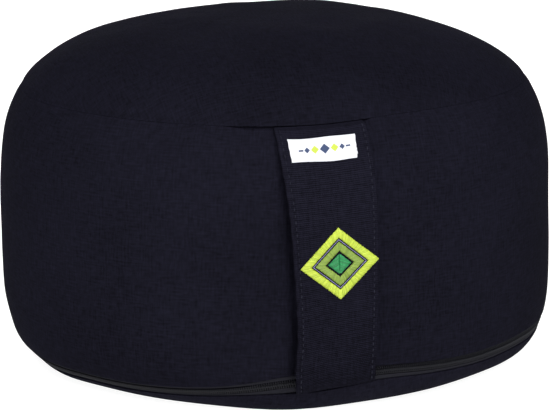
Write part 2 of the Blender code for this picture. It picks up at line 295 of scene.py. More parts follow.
class Shader:
    """A material's nodes round its Principled shader."""

    def __init__(self, name: str) -> None:
        """Starts a material of that name.

        Args:
            name: the material's name.
        """
        self.material = bpy.data.materials.new(name)
        self.material.use_nodes = True
        self.tree = self.material.node_tree
        self.surface = self.tree.nodes["Principled BSDF"]

    def node(
        self,
        kind: str,
        settings: dict[str, object] | None = None,
        inputs: dict[int | str, object] | None = None,
        output: int | str = 0,
    ) -> Value:
        """Adds a node.

        Args:
            kind: its type.
            settings: its options, which are set first.
            inputs: a value or a link for each socket that doesn't keep its own.
            output: which of its outputs is wanted.

        Returns:
            That output.
        """
        made = self.tree.nodes.new(kind)
        for option, value in (settings or {}).items():
            setattr(made, option, value)
        for socket, value in (inputs or {}).items():
            self._feed(made.inputs[socket], value)
        return Value(self, made.outputs[output])

    def _feed(self, socket: bpy.types.NodeSocket, value: object) -> None:
        """Links a socket to a value, or sets its own number or colour.

        Args:
            socket: the socket.
            value: what it gets.
        """
        if isinstance(value, Value):
            self.tree.links.new(value.socket, socket)
        elif socket.type == "RGBA":
            socket.default_value = (*value, 1)
        else:
            socket.default_value = value

    def set(self, **inputs: object) -> None:
        """Sets or links the Principled shader's sockets, named with _ for each space."""
        for name, value in inputs.items():
            self._feed(self.surface.inputs[name.replace("_", " ")], value)

    def cloth(self) -> tuple[Value, Value]:
        """The place on the flat cloth, in metres: across it and along it.

        Returns:
            Both values.
        """
        flat = self.node("ShaderNodeUVMap", {"uv_map": "cloth"})
        split = {"Vector": flat}
        across = self.node("ShaderNodeSeparateXYZ", inputs=split, output="X")
        return across, self.node("ShaderNodeSeparateXYZ", inputs=split, output="Y")

    def shade(self) -> Value:
        """The shade that the mesh holds for this thread."""
        return self.node("ShaderNodeAttribute", {"attribute_name": "shade"}, output="Fac")

    def mottle(self, across: Value | float, along: Value | float, detail: float = 2.0) -> Value:
        """Noise over two coordinates, around a half.

        Args:
            across: the first coordinate.
            along: the second.
            detail: how many finer layers it has.

        Returns:
            The noise.
        """
        place = self.node("ShaderNodeCombineXYZ", inputs={0: across, 1: along})
        inputs = {"Vector": place, "Scale": 1.0, "Detail": detail}
        return self.node("ShaderNodeTexNoise", inputs=inputs, output=0)

    def blend(self, share: Value | float, first: object, second: object) -> Value:
        """A colour that is the first at a share of 0 and the second at 1.

        Args:
            share: the share.
            first: a colour.
            second: another.

        Returns:
            The colour.
        """
        settings = {"data_type": "RGBA"}
        inputs = {0: share, 6: first, 7: second}
        return self.node("ShaderNodeMix", settings, inputs, output=2)

    def relief(self, height: Value, deep: float, under: Value | None = None) -> Value:
        """Bumps on the surface.

        Args:
            height: from 0, low, to 1, high.
            deep: how many metres apart those are.
            under: other bumps, which these lie on.

        Returns:
            The normal for the shader, or for a further relief.
        """
        inputs: dict[int | str, object] = {"Height": height, "Distance": deep, "Strength": 1.0}
        if under is not None:
            inputs["Normal"] = under
        return self.node("ShaderNodeBump", inputs=inputs)


def plain_weave(across: Value, along: Value, pitch: Pair) -> tuple[Value, Value]:
    """The threads of a plain weave, each over one and under the next.

    Args:
        across: the place across the cloth, in metres.
        along: the place along it.
        pitch: how far apart the threads lie, across and along.

    Returns:
        The height of the top thread, from 0 to 1, and which one that is: above 0 where a thread
        that runs along the cloth is on top.
    """
    turn_across, turn_along = across * (math.pi / pitch[0]), along * (math.pi / pitch[1])
    wave_across, wave_along = turn_across.cosine(), turn_along.cosine()
    over = wave_across * wave_along
    raised, level = 0.45, 0.55
    high_along = abs(wave_across) * (over * raised + level)
    high_across = abs(wave_along) * (level - over * raised)
    return high_along.larger(high_across), over


# ---- finishes


class Finish:
    """What a piece is made of. Each kind says how its material is built."""

    name: str

    def dress(self, shader: Shader) -> None:
        """Builds the finish on the shader."""
        raise NotImplementedError

    def material(self) -> bpy.types.Material:
        """The Blender material, made once for each finish.

        Returns:
            The material.
        """
        found = bpy.data.materials.get(self.name)
        if found is None:
            shader = Shader(self.name)
            self.dress(shader)
            found = shader.material
        return found


@dataclass(frozen=True)
class Canvas(Finish):
    """Plain-woven cotton, dyed nearly black."""

    name: str
    dark: Colour = (0.0034, 0.0032, 0.0050)  # the colour between the threads, where shade is painted
    light: Colour = (0.0128, 0.0124, 0.0217)  # the colour of a thread's crest, where light is painted
    pitch: Pair = (0.62 * MM, 0.66 * MM)  # how far apart the threads lie, across and along
    deep: float = 0.13 * MM  # how deep the weave is
    rib: float = 0.12  # how much lighter the threads across the cloth are than those along it
    slub: Pair = (1400, 45)  # how often a thread's thickness changes, across and along it
    streak: Pair = (900, 150)  # the same for its shade
    swap: float = 0.2  # how softly one set of threads takes over from the other
    dye: float = 14  # how often the dye's strength changes
    lint: float = 700  # how often there may be a speck of lint
    # How much the weave (painted shade between the threads), the slubs, the dye and the lint lighten it.
    shares: tuple[float, float, float, float] = (0.5, 0.35, 0.18, 0.5)
    painted_rib_light: float = 0.0  # painted light: how much lighter the crests of its ribs are painted
    uneven: float = 0.85  # how much its thicker and thinner threads show
    painted_top_light: Triple = (0.0, 1.0, 0.0)  # painted light from above: by how much it is painted lighter before one place along it and darker after another

    def dress(self, shader: Shader) -> None:
        """Weaves it, with painted shade between the threads, slubs along them, uneven dye and a little lint.

        Args:
            shader: the material's nodes.
        """
        across, along = shader.cloth()
        high, over = plain_weave(across, along, self.pitch)
        thin, long = self.slub
        slub_along = shader.mottle(across * thin, along * long)
        slub_across = shader.mottle(across * long, along * thin)
        on_top, below = over.part_of(-self.swap, self.swap), over.part_of(self.swap, -self.swap)
        slubs = slub_along * on_top + slub_across * below
        dye = shader.mottle(across * self.dye, along * self.dye, detail=3.0)
        lint = shader.mottle(across * self.lint, along * self.lint, detail=1.0).part_of(0.70, 0.80)
        of_painted_weave_shade, of_slubs, of_dye, of_lint = self.shares
        # Painted shade: darker between the threads of the weave, lighter on their crests.
        share = high * of_painted_weave_shade + slubs.part_of(0.25, 0.8) * of_slubs + dye.part_of(0.3, 0.7) * of_dye
        share = share - over.part_of(-1.0, 1.0) * self.rib + lint * of_lint
        thin, long = self.streak
        streaks = shader.mottle(across * thin, along * long) + shader.mottle(across * long, along * thin)
        share = share + (streaks - 1.0) * self.uneven
        # Painted light from above: lighter higher up the cloth, darker lower down.
        start, end, most = self.painted_top_light
        if most:
            share = share + (0.5 - along.part_of(start, end)) * most
        # Painted light on the crests of the ribs.
        if self.painted_rib_light:
            crests = (along * (math.tau / self.pitch[1])).cosine()
            share = share + crests * self.painted_rib_light
        colour = shader.blend(share.part_of(0.0, 1.0), self.dark, self.light)
        shader.set(Base_Color=colour, Roughness=1.0 - high * 0.08, Specular_IOR_Level=0.008)
        uneven = shader.relief(slubs, self.deep * 0.6)
        shader.set(Normal=shader.relief(high, self.deep, uneven))


@dataclass(frozen=True)
class Thread(Finish):
    """Spun thread, with a visible twist."""

    name: str
    dark: Colour  # the colour of a thread whose shade is -1
    light: Colour  # the colour of one whose shade is 1
    rough: float = 0.5  # how rough it is, before its twist adds to that
    shine: float = 0.3  # its specular level
    twist: float = 0.7 * MM  # how far along the thread one turn of its plies takes

    def dress(self, shader: Shader) -> None:
        """Plies it, with painted shade in the grooves between its plies, and gives each stitch its own shade.

        Args:
            shader: the material's nodes.
        """
        around, along = shader.cloth()
        plies = (around * (2 * math.tau) + along * (math.tau / self.twist)).cosine()
        high = plies * 0.5 + 0.5
        share = shader.shade() * 0.5 + 0.5
        # Painted shade: the plies' crests lighter than the grooves between them.
        colour = shader.blend((share * 0.7 + high * 0.3).part_of(0.0, 1.0), self.dark, self.light)
        shader.set(Base_Color=colour, Roughness=self.rough + high * 0.1, Specular_IOR_Level=self.shine)
        shader.set(Normal=shader.relief(high, 0.06 * MM))


@dataclass(frozen=True)
class LabelWeave(Finish):
    """White damask ribbon with a small woven ornament."""

    name: str = "label_damask"
    ground: Colour = (0.80, 0.81, 0.86)  # the ribbon's colour
    first: Colour = (0.008, 0.030, 0.105)  # the colour of the middle lozenge and of the dashes
    second: Colour = (0.52, 0.62, 0.035)  # the colour of the side lozenges
    # For each, its place from the middle, half its width, half its height, and whether it has the first
    # colour.
    lozenges: tuple[tuple[float, float, float, bool], ...] = (
        (0.0, 2.9 * MM, 2.7 * MM, True),
        (5.6 * MM, 2.3 * MM, 2.2 * MM, False),
        (10.0 * MM, 1.6 * MM, 1.6 * MM, True),
    )
    # The dashes' place from the middle, half their width and half their height.
    dash: Triple = (13.4 * MM, 1.3 * MM, 0.45 * MM)
    pitch: Pair = (0.24 * MM, 0.30 * MM)  # how far apart the threads lie
    shadow: Colour = (0.45, 0.46, 0.52)  # the colour between them
    shaded: float = 0.14  # how much that shows

    def dress(self, shader: Shader) -> None:
        """Weaves the ribbon and its ornament, the same to both sides of the middle.

        Args:
            shader: the material's nodes.
        """
        across, along = shader.cloth()
        aside, above = abs(across), abs(along)
        colour: object = self.ground
        for place, half_width, half_height, is_first in self.lozenges:
            inside = (abs(aside - place) * (1 / half_width) + above * (1 / half_height)) < 1.0
            colour = shader.blend(inside, colour, self.first if is_first else self.second)
        place, half_width, half_height = self.dash
        inside = (abs(aside - place) < half_width) * (above < half_height)
        colour = shader.blend(inside, colour, self.first)
        high, _ = plain_weave(across, along, self.pitch)
        colour = shader.blend((1 - high) * self.shaded, colour, self.shadow)
        shader.set(Base_Color=colour, Roughness=0.6, Specular_IOR_Level=0.3, Sheen_Weight=0.1)
        shader.set(Normal=shader.relief(high, 0.05 * MM))


@dataclass(frozen=True)
class Nylon(Finish):
    """Moulded or drawn nylon, as of a zip's coil."""

    name: str = "coil_nylon"
    colour: Colour = (0.0192, 0.0196, 0.0240)
    rough: float = 0.6
    shine: float = 0.10  # its specular level
    spots: Pair = (3, 900)  # how often that changes, to a turn and to a metre
    dark: float = 0.7  # how dark it gets

    def dress(self, shader: Shader) -> None:
        """Gives it a faint unevenness of colour and gloss.

        Args:
            shader: the material's nodes.
        """
        around, along = shader.cloth()
        spots = shader.mottle(around * self.spots[0], along * self.spots[1])
        darker = tuple(self.dark * part for part in self.colour)
        shader.set(Base_Color=shader.blend(spots, darker, self.colour))
        shader.set(Roughness=spots * 0.15 + (self.rough - 0.07), Specular_IOR_Level=self.shine)


@dataclass(frozen=True)
class ZipTape(Finish):
    """Ribbed polyester tape."""

    name: str = "zip_tape_weave"
    dark: Colour = (0.0056, 0.0056, 0.0080)  # the colour between its ribs, where shade is painted
    light: Colour = (0.0210, 0.0210, 0.0272)  # the colour of a rib, where light is painted
    pitch: Pair = (0.55 * MM, 0.40 * MM)  # how far apart its threads lie
    worn: float = 300  # how often its wear changes, to a metre

    def dress(self, shader: Shader) -> None:
        """Weaves it, with ribs across its length and painted shade between its threads.

        Args:
            shader: the material's nodes.
        """
        across, along = shader.cloth()
        high, _ = plain_weave(across, along, self.pitch)
        worn = shader.mottle(across * self.worn, along * self.worn)
        # Painted shade: darker between the threads, lighter on their crests, with wear over it.
        share = (high * 0.75 + worn * 0.4).part_of(0.0, 1.0)
        shader.set(Base_Color=shader.blend(share, self.dark, self.light), Roughness=0.9)
        shader.set(Specular_IOR_Level=0.04)
        shader.set(Normal=shader.relief(high, 0.10 * MM))


@dataclass(frozen=True)
class Enamel(Finish):
    """Black enamelled zinc, worn to the metal where it is handled."""

    name: str = "enamelled_zinc"
    paint: Colour = (0.020, 0.020, 0.022)  # the enamel's colour
    bare: Colour = (0.30, 0.30, 0.31)  # the metal's colour
    spots: float = 900  # how fine its worn spots are

    def dress(self, shader: Shader) -> None:
        """Paints it, with wear that follows its edges.

        Args:
            shader: the material's nodes.
        """
        edge = shader.node("ShaderNodeNewGeometry", output="Pointiness")
        place = shader.node("ShaderNodeNewGeometry", output="Position")
        inputs = {"Vector": place, "Scale": self.spots, "Detail": 3.0}
        spots = shader.node("ShaderNodeTexNoise", inputs=inputs)
        worn = edge.part_of(0.53, 0.62) * spots.part_of(0.45, 0.65)
        shader.set(Base_Color=shader.blend(worn, self.paint, self.bare), Metallic=worn * 0.9)
        shader.set(Roughness=spots * 0.12 + 0.26, Specular_IOR_Level=0.45)
        shader.set(Normal=shader.relief(spots, 0.01 * MM))


@dataclass(frozen=True)
class LightTable(Finish):
    """Opal glass that is lit from below, so that nothing on it throws a dark shadow."""

    name: str = "opal_table"
    colour: Colour = (0.345, 0.345, 0.35)  # the glass's own colour
    glow: float = 0.95  # how bright it is without any other light
    spots: float = 30  # how fine its mottle is
    dark: float = 0.985  # how dark that gets

    def dress(self, shader: Shader) -> None:
        """Frosts it, with the faintest mottle.

        Args:
            shader: the material's nodes.
        """
        place = shader.node("ShaderNodeTexCoord", output="Object")
        spots = shader.node("ShaderNodeTexNoise", inputs={"Vector": place, "Scale": self.spots})
        darker = tuple(self.dark * part for part in self.colour)
        shader.set(Base_Color=shader.blend(spots, darker, self.colour), Roughness=0.9)
        shader.set(Specular_IOR_Level=0.1, Emission_Color=(1.0, 1.0, 1.0), Emission_Strength=self.glow)


class Cloths(Enum):
    """The canvas of each panel. They were cut from one cloth, and lie at different angles. The under panel's
    is painted lighter, as painted light from the table below.
    """

    # The side is painted lighter towards its top, as painted light from above.
    SIDE = Canvas("side_canvas_weave", painted_top_light=(0.19, 0.33, 0.10))
    TOP = Canvas("top_canvas_weave")
    # Painted lighter all over, as painted light from the table below.
    UNDER = Canvas("under_canvas_weave", light=(0.0146, 0.0142, 0.0246))
    STRAP = Canvas(
        "strap_canvas_weave",
        pitch=(0.55 * MM, 1.08 * MM),
        deep=0.16 * MM,
        # painted light on the crests of its ribs
        painted_rib_light=0.2,
        # painted lighter towards its top, as painted light from above
        painted_top_light=(0.0, 0.165, 0.36),
    )


class Threads(Enum):
    """The threads that sew and embroider the cushion."""

    TOPSTITCH = Thread("topstitch_thread", (0.009, 0.009, 0.016), (0.023, 0.023, 0.035), 0.7, 0.05)
    LABEL = Thread("label_thread", (0.62, 0.63, 0.68), (0.85, 0.86, 0.90))
    LIME = Thread("lime_thread", (0.30, 0.40, 0.022), (0.62, 0.74, 0.075), 0.38, 0.5)
    OLIVE = Thread("olive_thread", (0.12, 0.19, 0.020), (0.29, 0.42, 0.062), 0.38, 0.5)
    EMERALD = Thread("emerald_thread", (0.006, 0.11, 0.028), (0.022, 0.33, 0.10), 0.38, 0.5)
    LILAC = Thread("lilac_thread", (0.14, 0.13, 0.30), (0.26, 0.25, 0.47), 0.38, 0.5)
    COIL = Thread("coil_thread", (0.007, 0.007, 0.009), (0.018, 0.018, 0.022), 0.7, 0.05)


# ---- the bare form


@dataclass(frozen=True)
class Swell:
    """Something that is largest at one angle and fades to both sides."""

    size: float  # how large it is there
    angle: float  # that angle
    spread: float  # how far to each side it reaches, also an angle

    def at(self, angle: Array) -> Array:
        """Its size at each angle."""
        return self.size * bell(wrapped(angle - self.angle), self.spread)


def bulge(size: float, angle: float, spread: float) -> Swell:
    """A swell from its size in millimetres and its two angles in degrees."""
    return Swell(size * MM, angle * DEGREE, spread * DEGREE)


NO_SWELL = Swell(0.0, 0.0, 1.0)
CROWN_MIDDLE = 60 * MM  # inside that radius the crown stays as it is


@dataclass(frozen=True)
class Seam:
    """A seam round the cushion, lower on one side of it than on the other."""

    height: float  # its middle height above the floor
    step: float  # how far above and below that its two sides are
    sharp: float  # how sudden the step is
    angle: float  # where the step is
    sag: float = 0.0  # how far it sinks towards the cushion's sides
    pull: Swell = NO_SWELL  # what else lifts it

    def at(self, angle: Array) -> Array:
        """Its height at each angle."""
        stepped = self.height + self.step * np.tanh(self.sharp * np.sin(angle - self.angle))
        return stepped - self.sag * (1 - np.cos(angle)) + self.pull.at(angle)


@dataclass(frozen=True)
class Fullness:
    """A place where the filling has settled, and presses the form out."""

    swell: Swell  # how far, at which angle, and how far round that reaches
    height: float  # its middle height above the floor
    reach: float  # how far up and down it goes from there

    def at(self, angle: Array, out: Array, up: Array) -> Array:
        """How far it presses out each point of the outlines at those angles."""
        fade = bell(up - self.height, self.reach) * ease(out / CROWN_MIDDLE)
        return self.swell.at(angle)[:, None] * fade


@dataclass
class Drum:
    """The bare form, and where its seams run."""

    waist_radius: float = 165.0 * MM  # its radius where it is widest
    waist_height: float = 94.3 * MM  # how high that is
    crown_rise: float = 112.2 * MM  # from the waist up to the crown's middle
    # How much boxier than an ellipse it is above the waist, outwards and up.
    crown_powers: Pair = (2.47, 3.77)
    under_rise: float = 106.2 * MM  # from the waist down to where the curve would close, under the floor
    under_powers: Pair = (2.24, 8.08)  # the same as crown_powers, for the lower half
    slant_towards: float = 78 * DEGREE  # the filling has settled unevenly, and fills this side more
    crown_slant: float = -0.32  # what the outward powers gain on that side, which makes it rounder
    under_slant: float = -0.28  # the same for the lower half
    crown_lean: float = 3.3 * MM  # how much higher its shoulder is
    # Swellings round the waist: how many, how far they stand out, and where.
    lobes: tuple[tuple[int, float, float], ...] = (
        (2, 0.33 * MM, 15.5 * DEGREE),
        (3, 0.6 * MM, -8.5 * DEGREE),
        (7, 0.25 * MM, 20 * DEGREE),
    )
    top_seam: Seam = Seam(169.0 * MM, 2.1 * MM, 5.0, 6.4 * DEGREE, 2.4 * MM)  # the seam round the crown
    # The middle of the zip, and of the seam that goes on from it.
    zip_seam: Seam = Seam(16.4 * MM, 6.6 * MM, 3.0, -17 * DEGREE, pull=bulge(2.6, 8, 12))
    # How far a seam draws the cloth in, and how far from it.
    pinches: tuple[Pair, ...] = ((0.4 * MM, 3.0 * MM), (0.25 * MM, 13.0 * MM))
    fuller: tuple[Fullness, ...] = (  # where the filling presses the form out further, or less
        Fullness(bulge(1.5, 78, 36), 171 * MM, 8 * MM),
        Fullness(bulge(-0.9, 110, 22), 191 * MM, 8 * MM),
        Fullness(bulge(1.9, 148, 24), 202 * MM, 4.5 * MM),
        Fullness(bulge(-1.1, -145, 26), 197 * MM, 6 * MM),
        Fullness(bulge(1.1, -98, 30), 98 * MM, 30 * MM),
        Fullness(bulge(-2.2, -98, 20), 24 * MM, 14 * MM),
        Fullness(bulge(1.3, -68, 8), 7 * MM, 11 * MM),
        Fullness(bulge(2.4, -9, 14), 2 * MM, 8 * MM),
        Fullness(bulge(1.2, 84, 34), 57 * MM, 38 * MM),
        Fullness(bulge(1.9, 64, 17), 6 * MM, 14 * MM),
    )
    zip_half: float = 4.5 * MM  # half the width of what shows of the zip
    zip_wide: Swell = bulge(2.4, -9, 8)  # what the zip's upper side gains, near the strap
    zip_deep: Swell = bulge(2.9, -2.5, 9.5)  # what its lower side gains there
    zip_middle: float = -11.25 * DEGREE  # the angle of the zip's middle
    zip_reach: float = 118.125 * DEGREE  # half the angle that it spans
    zip_closes: float = 8.4375 * DEGREE  # the angle over which the seam draws shut past each end
    # Waves in the cloth: how long they are and how deep.
    dents: tuple[Pair, ...] = ((70 * MM, 0.55 * MM), (27 * MM, 0.22 * MM), (9 * MM, 0.07 * MM))
    flat_below: float = 4 * MM  # below this height there are none
    fades_over: float = 22 * MM  # the height over which they come in
    outline_points: tuple[int, int] = (240, 60)  # down each half of the outline, and across its base
    # The spacing of the tables that places are read from, as an angle and a distance.
    step: Pair = (0.5 * DEGREE, 0.5 * MM)

    def __post_init__(self) -> None:
        """Works out the tables that every place is read from."""
        angle = np.linspace(-math.pi, math.pi, round(math.tau / self.step[0]) + 1)
        out, up = self._outline(angle)
        down = np.cumsum(np.hypot(np.diff(out, prepend=0.0), np.diff(up, prepend=up[:, :1])), axis=1)
        self._angle = angle
        reach = np.arange(0.0, down[:, -1].max() + self.step[1], self.step[1])
        tables = []
        for i in range(len(angle)):
            slope_out = np.gradient(out[i], down[i])
            slope_up = np.gradient(up[i], down[i])
            size = np.hypot(slope_out, slope_up)
            rests = up[i] <= 0
            off_out = np.where(rests, 0.0, -slope_up / size)
            off_up = np.where(rests, -1.0, slope_out / size)
            columns = (out[i], up[i], off_out, off_up, 0.0 * off_up)
            tables.append([np.interp(reach, down[i], values) for values in columns])
        self._table = np.array(tables).transpose(0, 2, 1)
        half = self.outline_points[0]
        top, low = self.top_seam.at(angle), self.zip_seam.at(angle)
        self._top = np.array([np.interp(-h, -z[:half], d[:half]) for h, z, d in zip(top, up, down)])
        rest = slice(half - 1, 2 * half - 1)
        self._zip = np.array([np.interp(-h, -z[rest], d[rest]) for h, z, d in zip(low, up, down)])
        self._floor = down[:, 2 * half - 2]
        self._middle = down[:, -1]

    def _outline(self, angle: Array) -> tuple[Array, Array]:
        """The form's outline at each angle.

        Args:
            angle: the angles.

        Returns:
            The distances out from the middle and the heights, one row for each angle.
        """
        half, across_base = self.outline_points
        slant = np.cos(angle - self.slant_towards)[:, None]
        lobes = [size * np.cos(count * (angle - at)) for count, size, at in self.lobes]
        reach = (self.waist_radius + sum(lobes))[:, None]
        over = self.crown_powers[0] + self.crown_slant * slant
        below = self.under_powers[0] + self.under_slant * slant
        turn = np.linspace(math.pi / 2, 0, half)[None, :]
        crown_out = reach * np.cos(turn).clip(0) ** (2 / over)
        crown_up = self.waist_height + self.crown_rise * np.sin(turn) ** (2 / self.crown_powers[1])
        last = math.asin((self.waist_height / self.under_rise) ** (self.under_powers[1] / 2))
        turn = np.linspace(0, last, half)[None, 1:]
        side_out = reach * np.cos(turn) ** (2 / below)
        side_up = self.waist_height - self.under_rise * np.sin(turn) ** (2 / self.under_powers[1])
        out = np.concatenate([crown_out, side_out], axis=1)
        up = np.concatenate([crown_up, side_up], axis=1) * np.ones_like(reach)
        share = up / (self.waist_height + self.crown_rise)
        up = up + self.crown_lean * slant * out / reach * share**2
        slope_out, slope_up = np.gradient(out, axis=1), np.gradient(up, axis=1)
        size = np.hypot(slope_out, slope_up)
        full = sum(fullness.at(angle, out, up) for fullness in self.fuller)
        out, up = out - full * slope_up / size, up + full * slope_out / size
        up = np.maximum(up, 0.0)
        up[:, -1] = 0.0
        base_out = out[:, -1:] * np.linspace(1, 0, across_base)[None, 1:]
        return np.concatenate([out, base_out], axis=1), np.concatenate([up, 0 * base_out], axis=1)

    def _read(self, angle: Array, down: Array) -> Array:
        """Reads the tables between their entries: out, up, the normal's two parts, and the lift.

        Args:
            angle: the angle of each place.
            down: its distance down the cloth.

        Returns:
            The five columns, last.
        """
        row = (wrapped(angle) + math.pi) / self.step[0]
        column = down / self.step[1]
        i = np.clip(row.astype(int), 0, self._table.shape[0] - 2)
        j = np.clip(column.astype(int), 0, self._table.shape[1] - 2)
        a, b = (row - i)[..., None], (column - j)[..., None]
        table = self._table
        near = table[i, j] * (1 - b) + table[i, j + 1] * b
        far = table[i + 1, j] * (1 - b) + table[i + 1, j + 1] * b
        return near * (1 - a) + far * a

    def settle(self, share: Array, moved: Array) -> None:
        """Takes over how far the filling has pushed the cloth off the form.

        Args:
            share: places from the crown's middle to the base's, as shares of the way.
            moved: the lift at each of them, (places, directions), from half a turn before -Y round.
        """
        whole = np.concatenate([moved, moved[:, :1]], axis=1)
        coarse = np.linspace(-math.pi, math.pi, whole.shape[1])
        reach = np.arange(self._table.shape[1]) * self.step[1]
        fine = np.array([np.interp(self._angle, coarse, row) for row in whole]).T
        lift = np.array([np.interp(reach, share * far, row) for far, row in zip(self._middle, fine)])
        for axis in (0, 1):
            for apart in (1, 2, 4, 8):
                beside = np.roll(lift, apart, axis) + np.roll(lift, -apart, axis)
                lift = lift / 2 + beside / 4
        self._table[..., 4] = lift
        log.info("cloth settled by up to %.2f mm", np.abs(lift).max() / MM)

    def _around(self, values: Array, angle: Array) -> Array:
        """Reads something that has one value at each angle."""
        return np.interp(wrapped(angle), self._angle, values)

    def to_top_seam(self, angle: Array) -> Array:
        """The distance down to the top seam."""
        return self._around(self._top, angle)

    def to_zip(self, angle: Array) -> Array:
        """The distance down to the middle of the zip or of its seam."""
        return self._around(self._zip, angle)

    def to_floor(self, angle: Array) -> Array:
        """The distance down to where the cloth meets the floor."""
        return self._around(self._floor, angle)

    def to_middle(self, angle: Array) -> Array:
        """The distance down to the middle of the base."""
        return self._around(self._middle, angle)

    def shut(self, angle: Array) -> Array:
        """0 along the zip and 1 where the seam is plain."""
        away = np.abs(wrapped(angle - self.zip_middle)) - self.zip_reach
        return np.clip(away / self.zip_closes, 0.0, 1.0)

    def to_zip_top(self, angle: Array) -> Array:
        """The distance down to the side panel's lower edge."""
        upper = self.zip_half + self.zip_wide.at(angle)
        return self.to_zip(angle) - (upper + (GAP / 2 - upper) * self.shut(angle))

    def to_zip_foot(self, angle: Array) -> Array:
        """The distance down to the under panel's edge."""
        lower = self.zip_half + self.zip_deep.at(angle)
        return self.to_zip(angle) + lower + (GAP / 2 - lower) * self.shut(angle)

    def pinch(self, angle: Array, down: Array) -> Array:
        """How far the seams draw the cloth in there.

        Args:
            angle: the angle of each place.
            down: its distance down the cloth.

        Returns:
            The depths.
        """
        from_top, from_zip = down - self.to_top_seam(angle), down - self.to_zip(angle)
        shut = self.shut(angle)
        return sum(deep * (bell(from_top, far) + shut * bell(from_zip, far)) for deep, far in self.pinches)

    def dent(self, places: Array) -> Array:
        """How far the cloth stands out or in at each place, flat where it rests.

        Args:
            places: the places, on the bare form.

        Returns:
            The lifts.
        """
        total = np.zeros(places.shape[:-1])
        for long, deep in self.dents:
            spots = (places / long).reshape(-1, 3)
            waves = np.array([noise.noise(spot) for spot in spots.tolist()])
            total += deep * waves.reshape(total.shape)
        return total * ease((places[..., 2] - self.flat_below) / self.fades_over)

    def at(self, angle: Array, down: Array, lift: Array | float = 0.0) -> Array:
        """Places on the cloth.

        Args:
            angle: the angle of each.
            down: the distance down the cloth.
            lift: how far it is off the drawn-in form.

        Returns:
            The points, in metres.
        """
        angle, down, lift = np.broadcast_arrays(angle, down, lift)
        out, up, off_out, off_up, settled = np.moveaxis(self._read(angle, down), -1, 0)
        side, front = np.sin(angle), -np.cos(angle)
        bare = np.stack([out * side, out * front, up], axis=-1)
        lift = lift + settled - self.pinch(angle, down) + self.dent(bare)
        out, up = out + lift * off_out, up + lift * off_up
        return np.stack([out * side, out * front, up], axis=-1)

    def off(self, angle: Array, down: Array) -> Array:
        """The direction straight off the cloth."""
        off_out, off_up = np.moveaxis(self._read(angle, down)[..., 2:4], -1, 0)
        return np.stack([off_out * np.sin(angle), -off_out * np.cos(angle), off_up], axis=-1)


@dataclass(frozen=True)
class Filling:
    """The filling's push on the cloth, found by a cloth simulation on a coarse copy of the form."""

    # How many points the copy has from middle to middle, and how many round.
    points: tuple[int, int] = (84, 120)
    pressure: float = 4.0  # how hard it is blown up
    frames: int = 20  # how many frames that takes
    mass: float = 0.01  # the mass of each of its points, in kilograms
    spare: float = 0.004  # how much more cloth there is than the form needs
    held: float = 5.0 * MM  # how far from a seam the seam still holds the cloth
    rests: float = 3.0 * MM  # the cloth below this height rests on the floor, and is held too
    most: float = 0.6 * MM  # the furthest that a place may move
    open_middle: float = 0.02  # how far from both middles its points begin, as a share of the way
    near_middle: float = CROWN_MIDDLE  # how far from the crown's middle the movement starts

    def push(self, drum: Drum) -> None:
        """Lets the filling settle in the form.

        Args:
            drum: the form.
        """
        down_count, round_count = self.points
        share = np.linspace(self.open_middle, 1 - self.open_middle, down_count)
        angle = -math.pi + np.arange(round_count)[None, :] * math.tau / round_count
        down = share[:, None] * drum.to_middle(angle)
        start = drum.at(angle, down)
        to_seam = np.minimum(np.abs(down - drum.to_top_seam(angle)), np.abs(down - drum.to_zip(angle)))
        hold = np.where(start[..., 2] < self.rests, 1.0, bell(to_seam, self.held))
        end = self._simulate(start, hold)
        moved = ((end - start) * drum.off(angle + 0 * down, down)).sum(axis=-1)
        moved = moved - moved.mean(axis=1, keepdims=True)
        moved = self.most * np.tanh(moved / self.most) * (1 - hold)
        drum.settle(share, moved * ease(down / self.near_middle))

    def _simulate(self, start: Array, hold: Array) -> Array:
        """Blows the copy up.

        Args:
            start: its points, (rows, columns, 3).
            hold: how firmly each is held, from 0 to 1.

        Returns:
            Where the points end up.
        """
        draft = Draft()
        draft.sleeve(start)
        copy = draft.build("settling_copy", Cloths.SIDE.value)
        held = copy.vertex_groups.new(name="held")
        for i, weight in enumerate(hold.ravel().tolist()):
            held.add([i], weight, "REPLACE")
        cloth = copy.modifiers.new("filling", "CLOTH")
        cloth.point_cache.frame_start = 1
        cloth.point_cache.frame_end = self.frames
        cloth.settings.vertex_group_mass = held.name
        cloth.settings.effector_weights.gravity = 0
        cloth.settings.use_pressure = True
        cloth.settings.uniform_pressure_force = self.pressure
        cloth.settings.mass = self.mass
        cloth.settings.shrink_min = -self.spare
        for frame_number in range(1, self.frames + 1):
            bpy.context.scene.frame_set(frame_number)
        blown = copy.evaluated_get(bpy.context.evaluated_depsgraph_get())
        places = np.empty(start.size, dtype=np.float32)
        blown.data.vertices.foreach_get("co", places)
        bpy.context.scene.frame_set(1)
        mesh = copy.data
        bpy.data.objects.remove(copy)
        bpy.data.meshes.remove(mesh)
        return places.reshape(start.shape)


# ---- the panels


@dataclass(frozen=True)
class Rim:
    """How the edge of a panel turns in at its seam: a quarter of a circle."""

    radius: float = 0.16 * MM  # the circle's radius
    swell: Swell = bulge(0.24, -10, 7)  # what it gains near one angle
    steps: int = 5  # how many rows of points it takes

    def reach(self, angle: Array) -> Array:
        """The circle's radius at each angle."""
        return self.radius + self.swell.at(angle)

    def rows(self, angle: Array) -> tuple[Array, Array]:
        """The distance from the edge and the lift of each row, from the edge inwards.

        Args:
            angle: the angles of the columns.

        Returns:
            Both, one row for each of the rim's.
        """
        turn = np.linspace(math.pi / 2, 0, self.steps)[:, None]
        radius = self.reach(angle)[None, :]
        return radius * (1 - np.sin(turn)), -radius * (1 - np.cos(turn))


